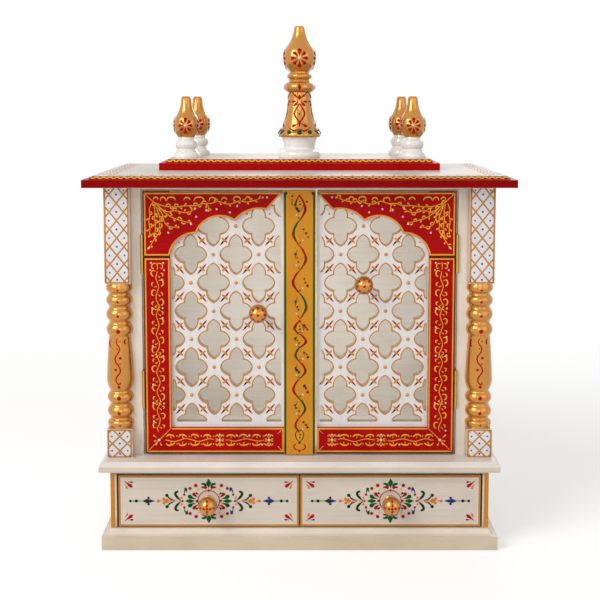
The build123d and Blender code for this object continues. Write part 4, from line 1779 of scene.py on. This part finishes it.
@dataclass
class Studio:
    """The floor, the soft lights, the white background and the camera.

    Attributes:
        eye: The camera's place (m).
        pitch: How far it looks down (degrees).
        yaw: How far it looks to one side (degrees).
        lens: Its focal length (mm).
        shift: How far the picture is moved down, as a share of its width.
        floor_half: Half the floor's width (m).
        floor_drop: How far it lies below the cabinet (m).
        floor_glow: How much light of its own makes up for its shading.
        floor_fade: The distance at which it has half turned white (m).
    """

    eye: tuple[float, float, float] = (-0.001, -1.85, 0.65)
    pitch: float = 5.794
    yaw: float = -0.054
    lens: float = 72.385
    shift: float = -0.13
    floor_half: float = 9.0
    floor_drop: float = 0.0008
    floor_glow: float = 0.33
    floor_fade: float = 1.1

    def build(self) -> None:
        """Sets up the picture."""
        self.floor()
        self.world()
        self.lamp("key", (-1.8, -1.9, 1.8), (1.6, 1.8), 50.0)
        self.lamp("fill", (1.8, -1.8, 1.2), (1.8, 1.8), 8.0)
        self.lamp("front", (0.0, -2.6, 0.9), (1.2, 1.2), 6.0)
        self.lamp("rear", (0.5, 2.3, 1.5), (1.6, 1.2), 12.0)
        inside = self.lamp("inside", (0.0, -0.085, 0.33), (0.42, 0.34), 0.66)
        inside.rotation_euler = (math.radians(90), 0.0, 0.0)
        inside.data.color = (0.95, 0.96, 1.0)
        inside.visible_camera = inside.visible_glossy = False
        self.camera()
        bpy.context.scene.view_settings.view_transform = "Standard"

    def floor(self) -> None:
        """A pale floor that keeps the shadow and turns white towards the background."""
        shape = bmesh.new()
        down = Matrix.Translation((0.0, 0.0, -self.floor_drop))
        bmesh.ops.create_grid(shape, x_segments=8, y_segments=8, size=self.floor_half, matrix=down)
        mesh = bpy.data.meshes.new("floor")
        shape.to_mesh(mesh)
        shape.free()
        material = bpy.data.materials.new("studio_floor")
        tree = Tree(material)
        cloud = tree.noise(tree.place(), 3.0)
        colour = tree.mix(cloud, (0.86, 0.86, 0.86, 1.0), (0.9, 0.9, 0.9, 1.0))
        pale = tree.node("ShaderNodeBsdfDiffuse", {}, {"Color": colour})
        glow = tree.node("ShaderNodeEmission", {}, {"Color": WHITE_LIGHT, "Strength": self.floor_glow})
        both = tree.node("ShaderNodeAddShader", {}, {0: pale, 1: glow})
        white = tree.node("ShaderNodeEmission", {}, {"Color": WHITE_LIGHT, "Strength": 1.0})
        away = tree.node("ShaderNodeVectorMath", {"operation": "LENGTH"}, {0: tree.place()}, "Value")
        both = tree.node("ShaderNodeMixShader", {}, {0: away.past(self.floor_fade, 1.0), 1: both, 2: white})
        tree.end(tree.node("ShaderNodeMixShader", {}, {0: tree.seen(), 1: pale, 2: both}))
        mesh.materials.append(material)
        floor = bpy.data.objects.new("floor", mesh)
        bpy.context.scene.collection.objects.link(floor)

    def world(self) -> None:
        """Even light from all round, white where it is seen."""
        world = bpy.data.worlds.new("studio")
        bpy.context.scene.world = world
        tree = Tree(world)
        soft = tree.node("ShaderNodeBackground", {}, {"Color": (1.0, 0.985, 0.96, 1.0), "Strength": 0.4})
        white = tree.node("ShaderNodeBackground", {}, {"Color": WHITE_LIGHT, "Strength": 1.0})
        tree.end(tree.node("ShaderNodeMixShader", {}, {0: tree.seen(), 1: soft, 2: white}))

    def lamp(self, name: str, place: Sequence[float], size: Point, power: float) -> bpy.types.Object:
        """A soft lamp that looks at the cabinet's middle.

        Args:
            name: The lamp's name.
            place: Where it hangs (m).
            size: Its width and height (m).
            power: Its power (W).

        Returns:
            The lamp.
        """
        light = bpy.data.lights.new(name, "AREA")
        light.shape, light.energy = "RECTANGLE", power
        light.size, light.size_y = size
        lamp = bpy.data.objects.new(name, light)
        lamp.location = place
        lamp.rotation_euler = (Vector((0.0, 0.0, 0.38)) - Vector(place)).to_track_quat("-Z", "Y").to_euler()
        bpy.context.scene.collection.objects.link(lamp)
        return lamp

    def camera(self) -> None:
        """The camera at the photograph's viewing angle."""
        lens = bpy.data.cameras.new("camera")
        lens.lens, lens.sensor_width, lens.shift_y = self.lens, 36.0, self.shift
        camera = bpy.data.objects.new("camera", lens)
        camera.location = self.eye
        camera.rotation_euler = (math.radians(90 - self.pitch), 0.0, math.radians(self.yaw))
        bpy.context.scene.collection.objects.link(camera)
        bpy.context.scene.camera = camera


def main() -> None:
    """Builds the pieces in order."""
    logging.basicConfig(level=logging.INFO, format="%(name)s %(message)s")
    pieces = [
        Studio(), Carcass(), Roof(),
        *(HalfColumn(side) for side in ("left", "right")),
        *(LatticeDoor(side) for side in ("left", "right")),
        CentreStrip(),
        *(Finial(row + "_centre_finial", True) for row in ("front", "back")),
        *(Finial(f"{row}_{side}_finial", False) for row in ("front", "back") for side in ("left", "right")),
        *(Drawer(side) for side in ("left", "right")),
        *(Knob(side + "_door_knob", side + "_door", ((0.0, 1), (44.0, 8))) for side in ("left", "right")),
        *(
            Knob(side + "_drawer_knob", side + "_drawer", ((0.0, 1), (20.0, 4), (46.0, 4)))
            for side in ("left", "right")
        ),
    ]
    for piece in pieces:
        piece.build()
        LOG.info("built %s", type(piece).__name__)
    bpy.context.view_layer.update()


if __name__ == "__main__":
    main()
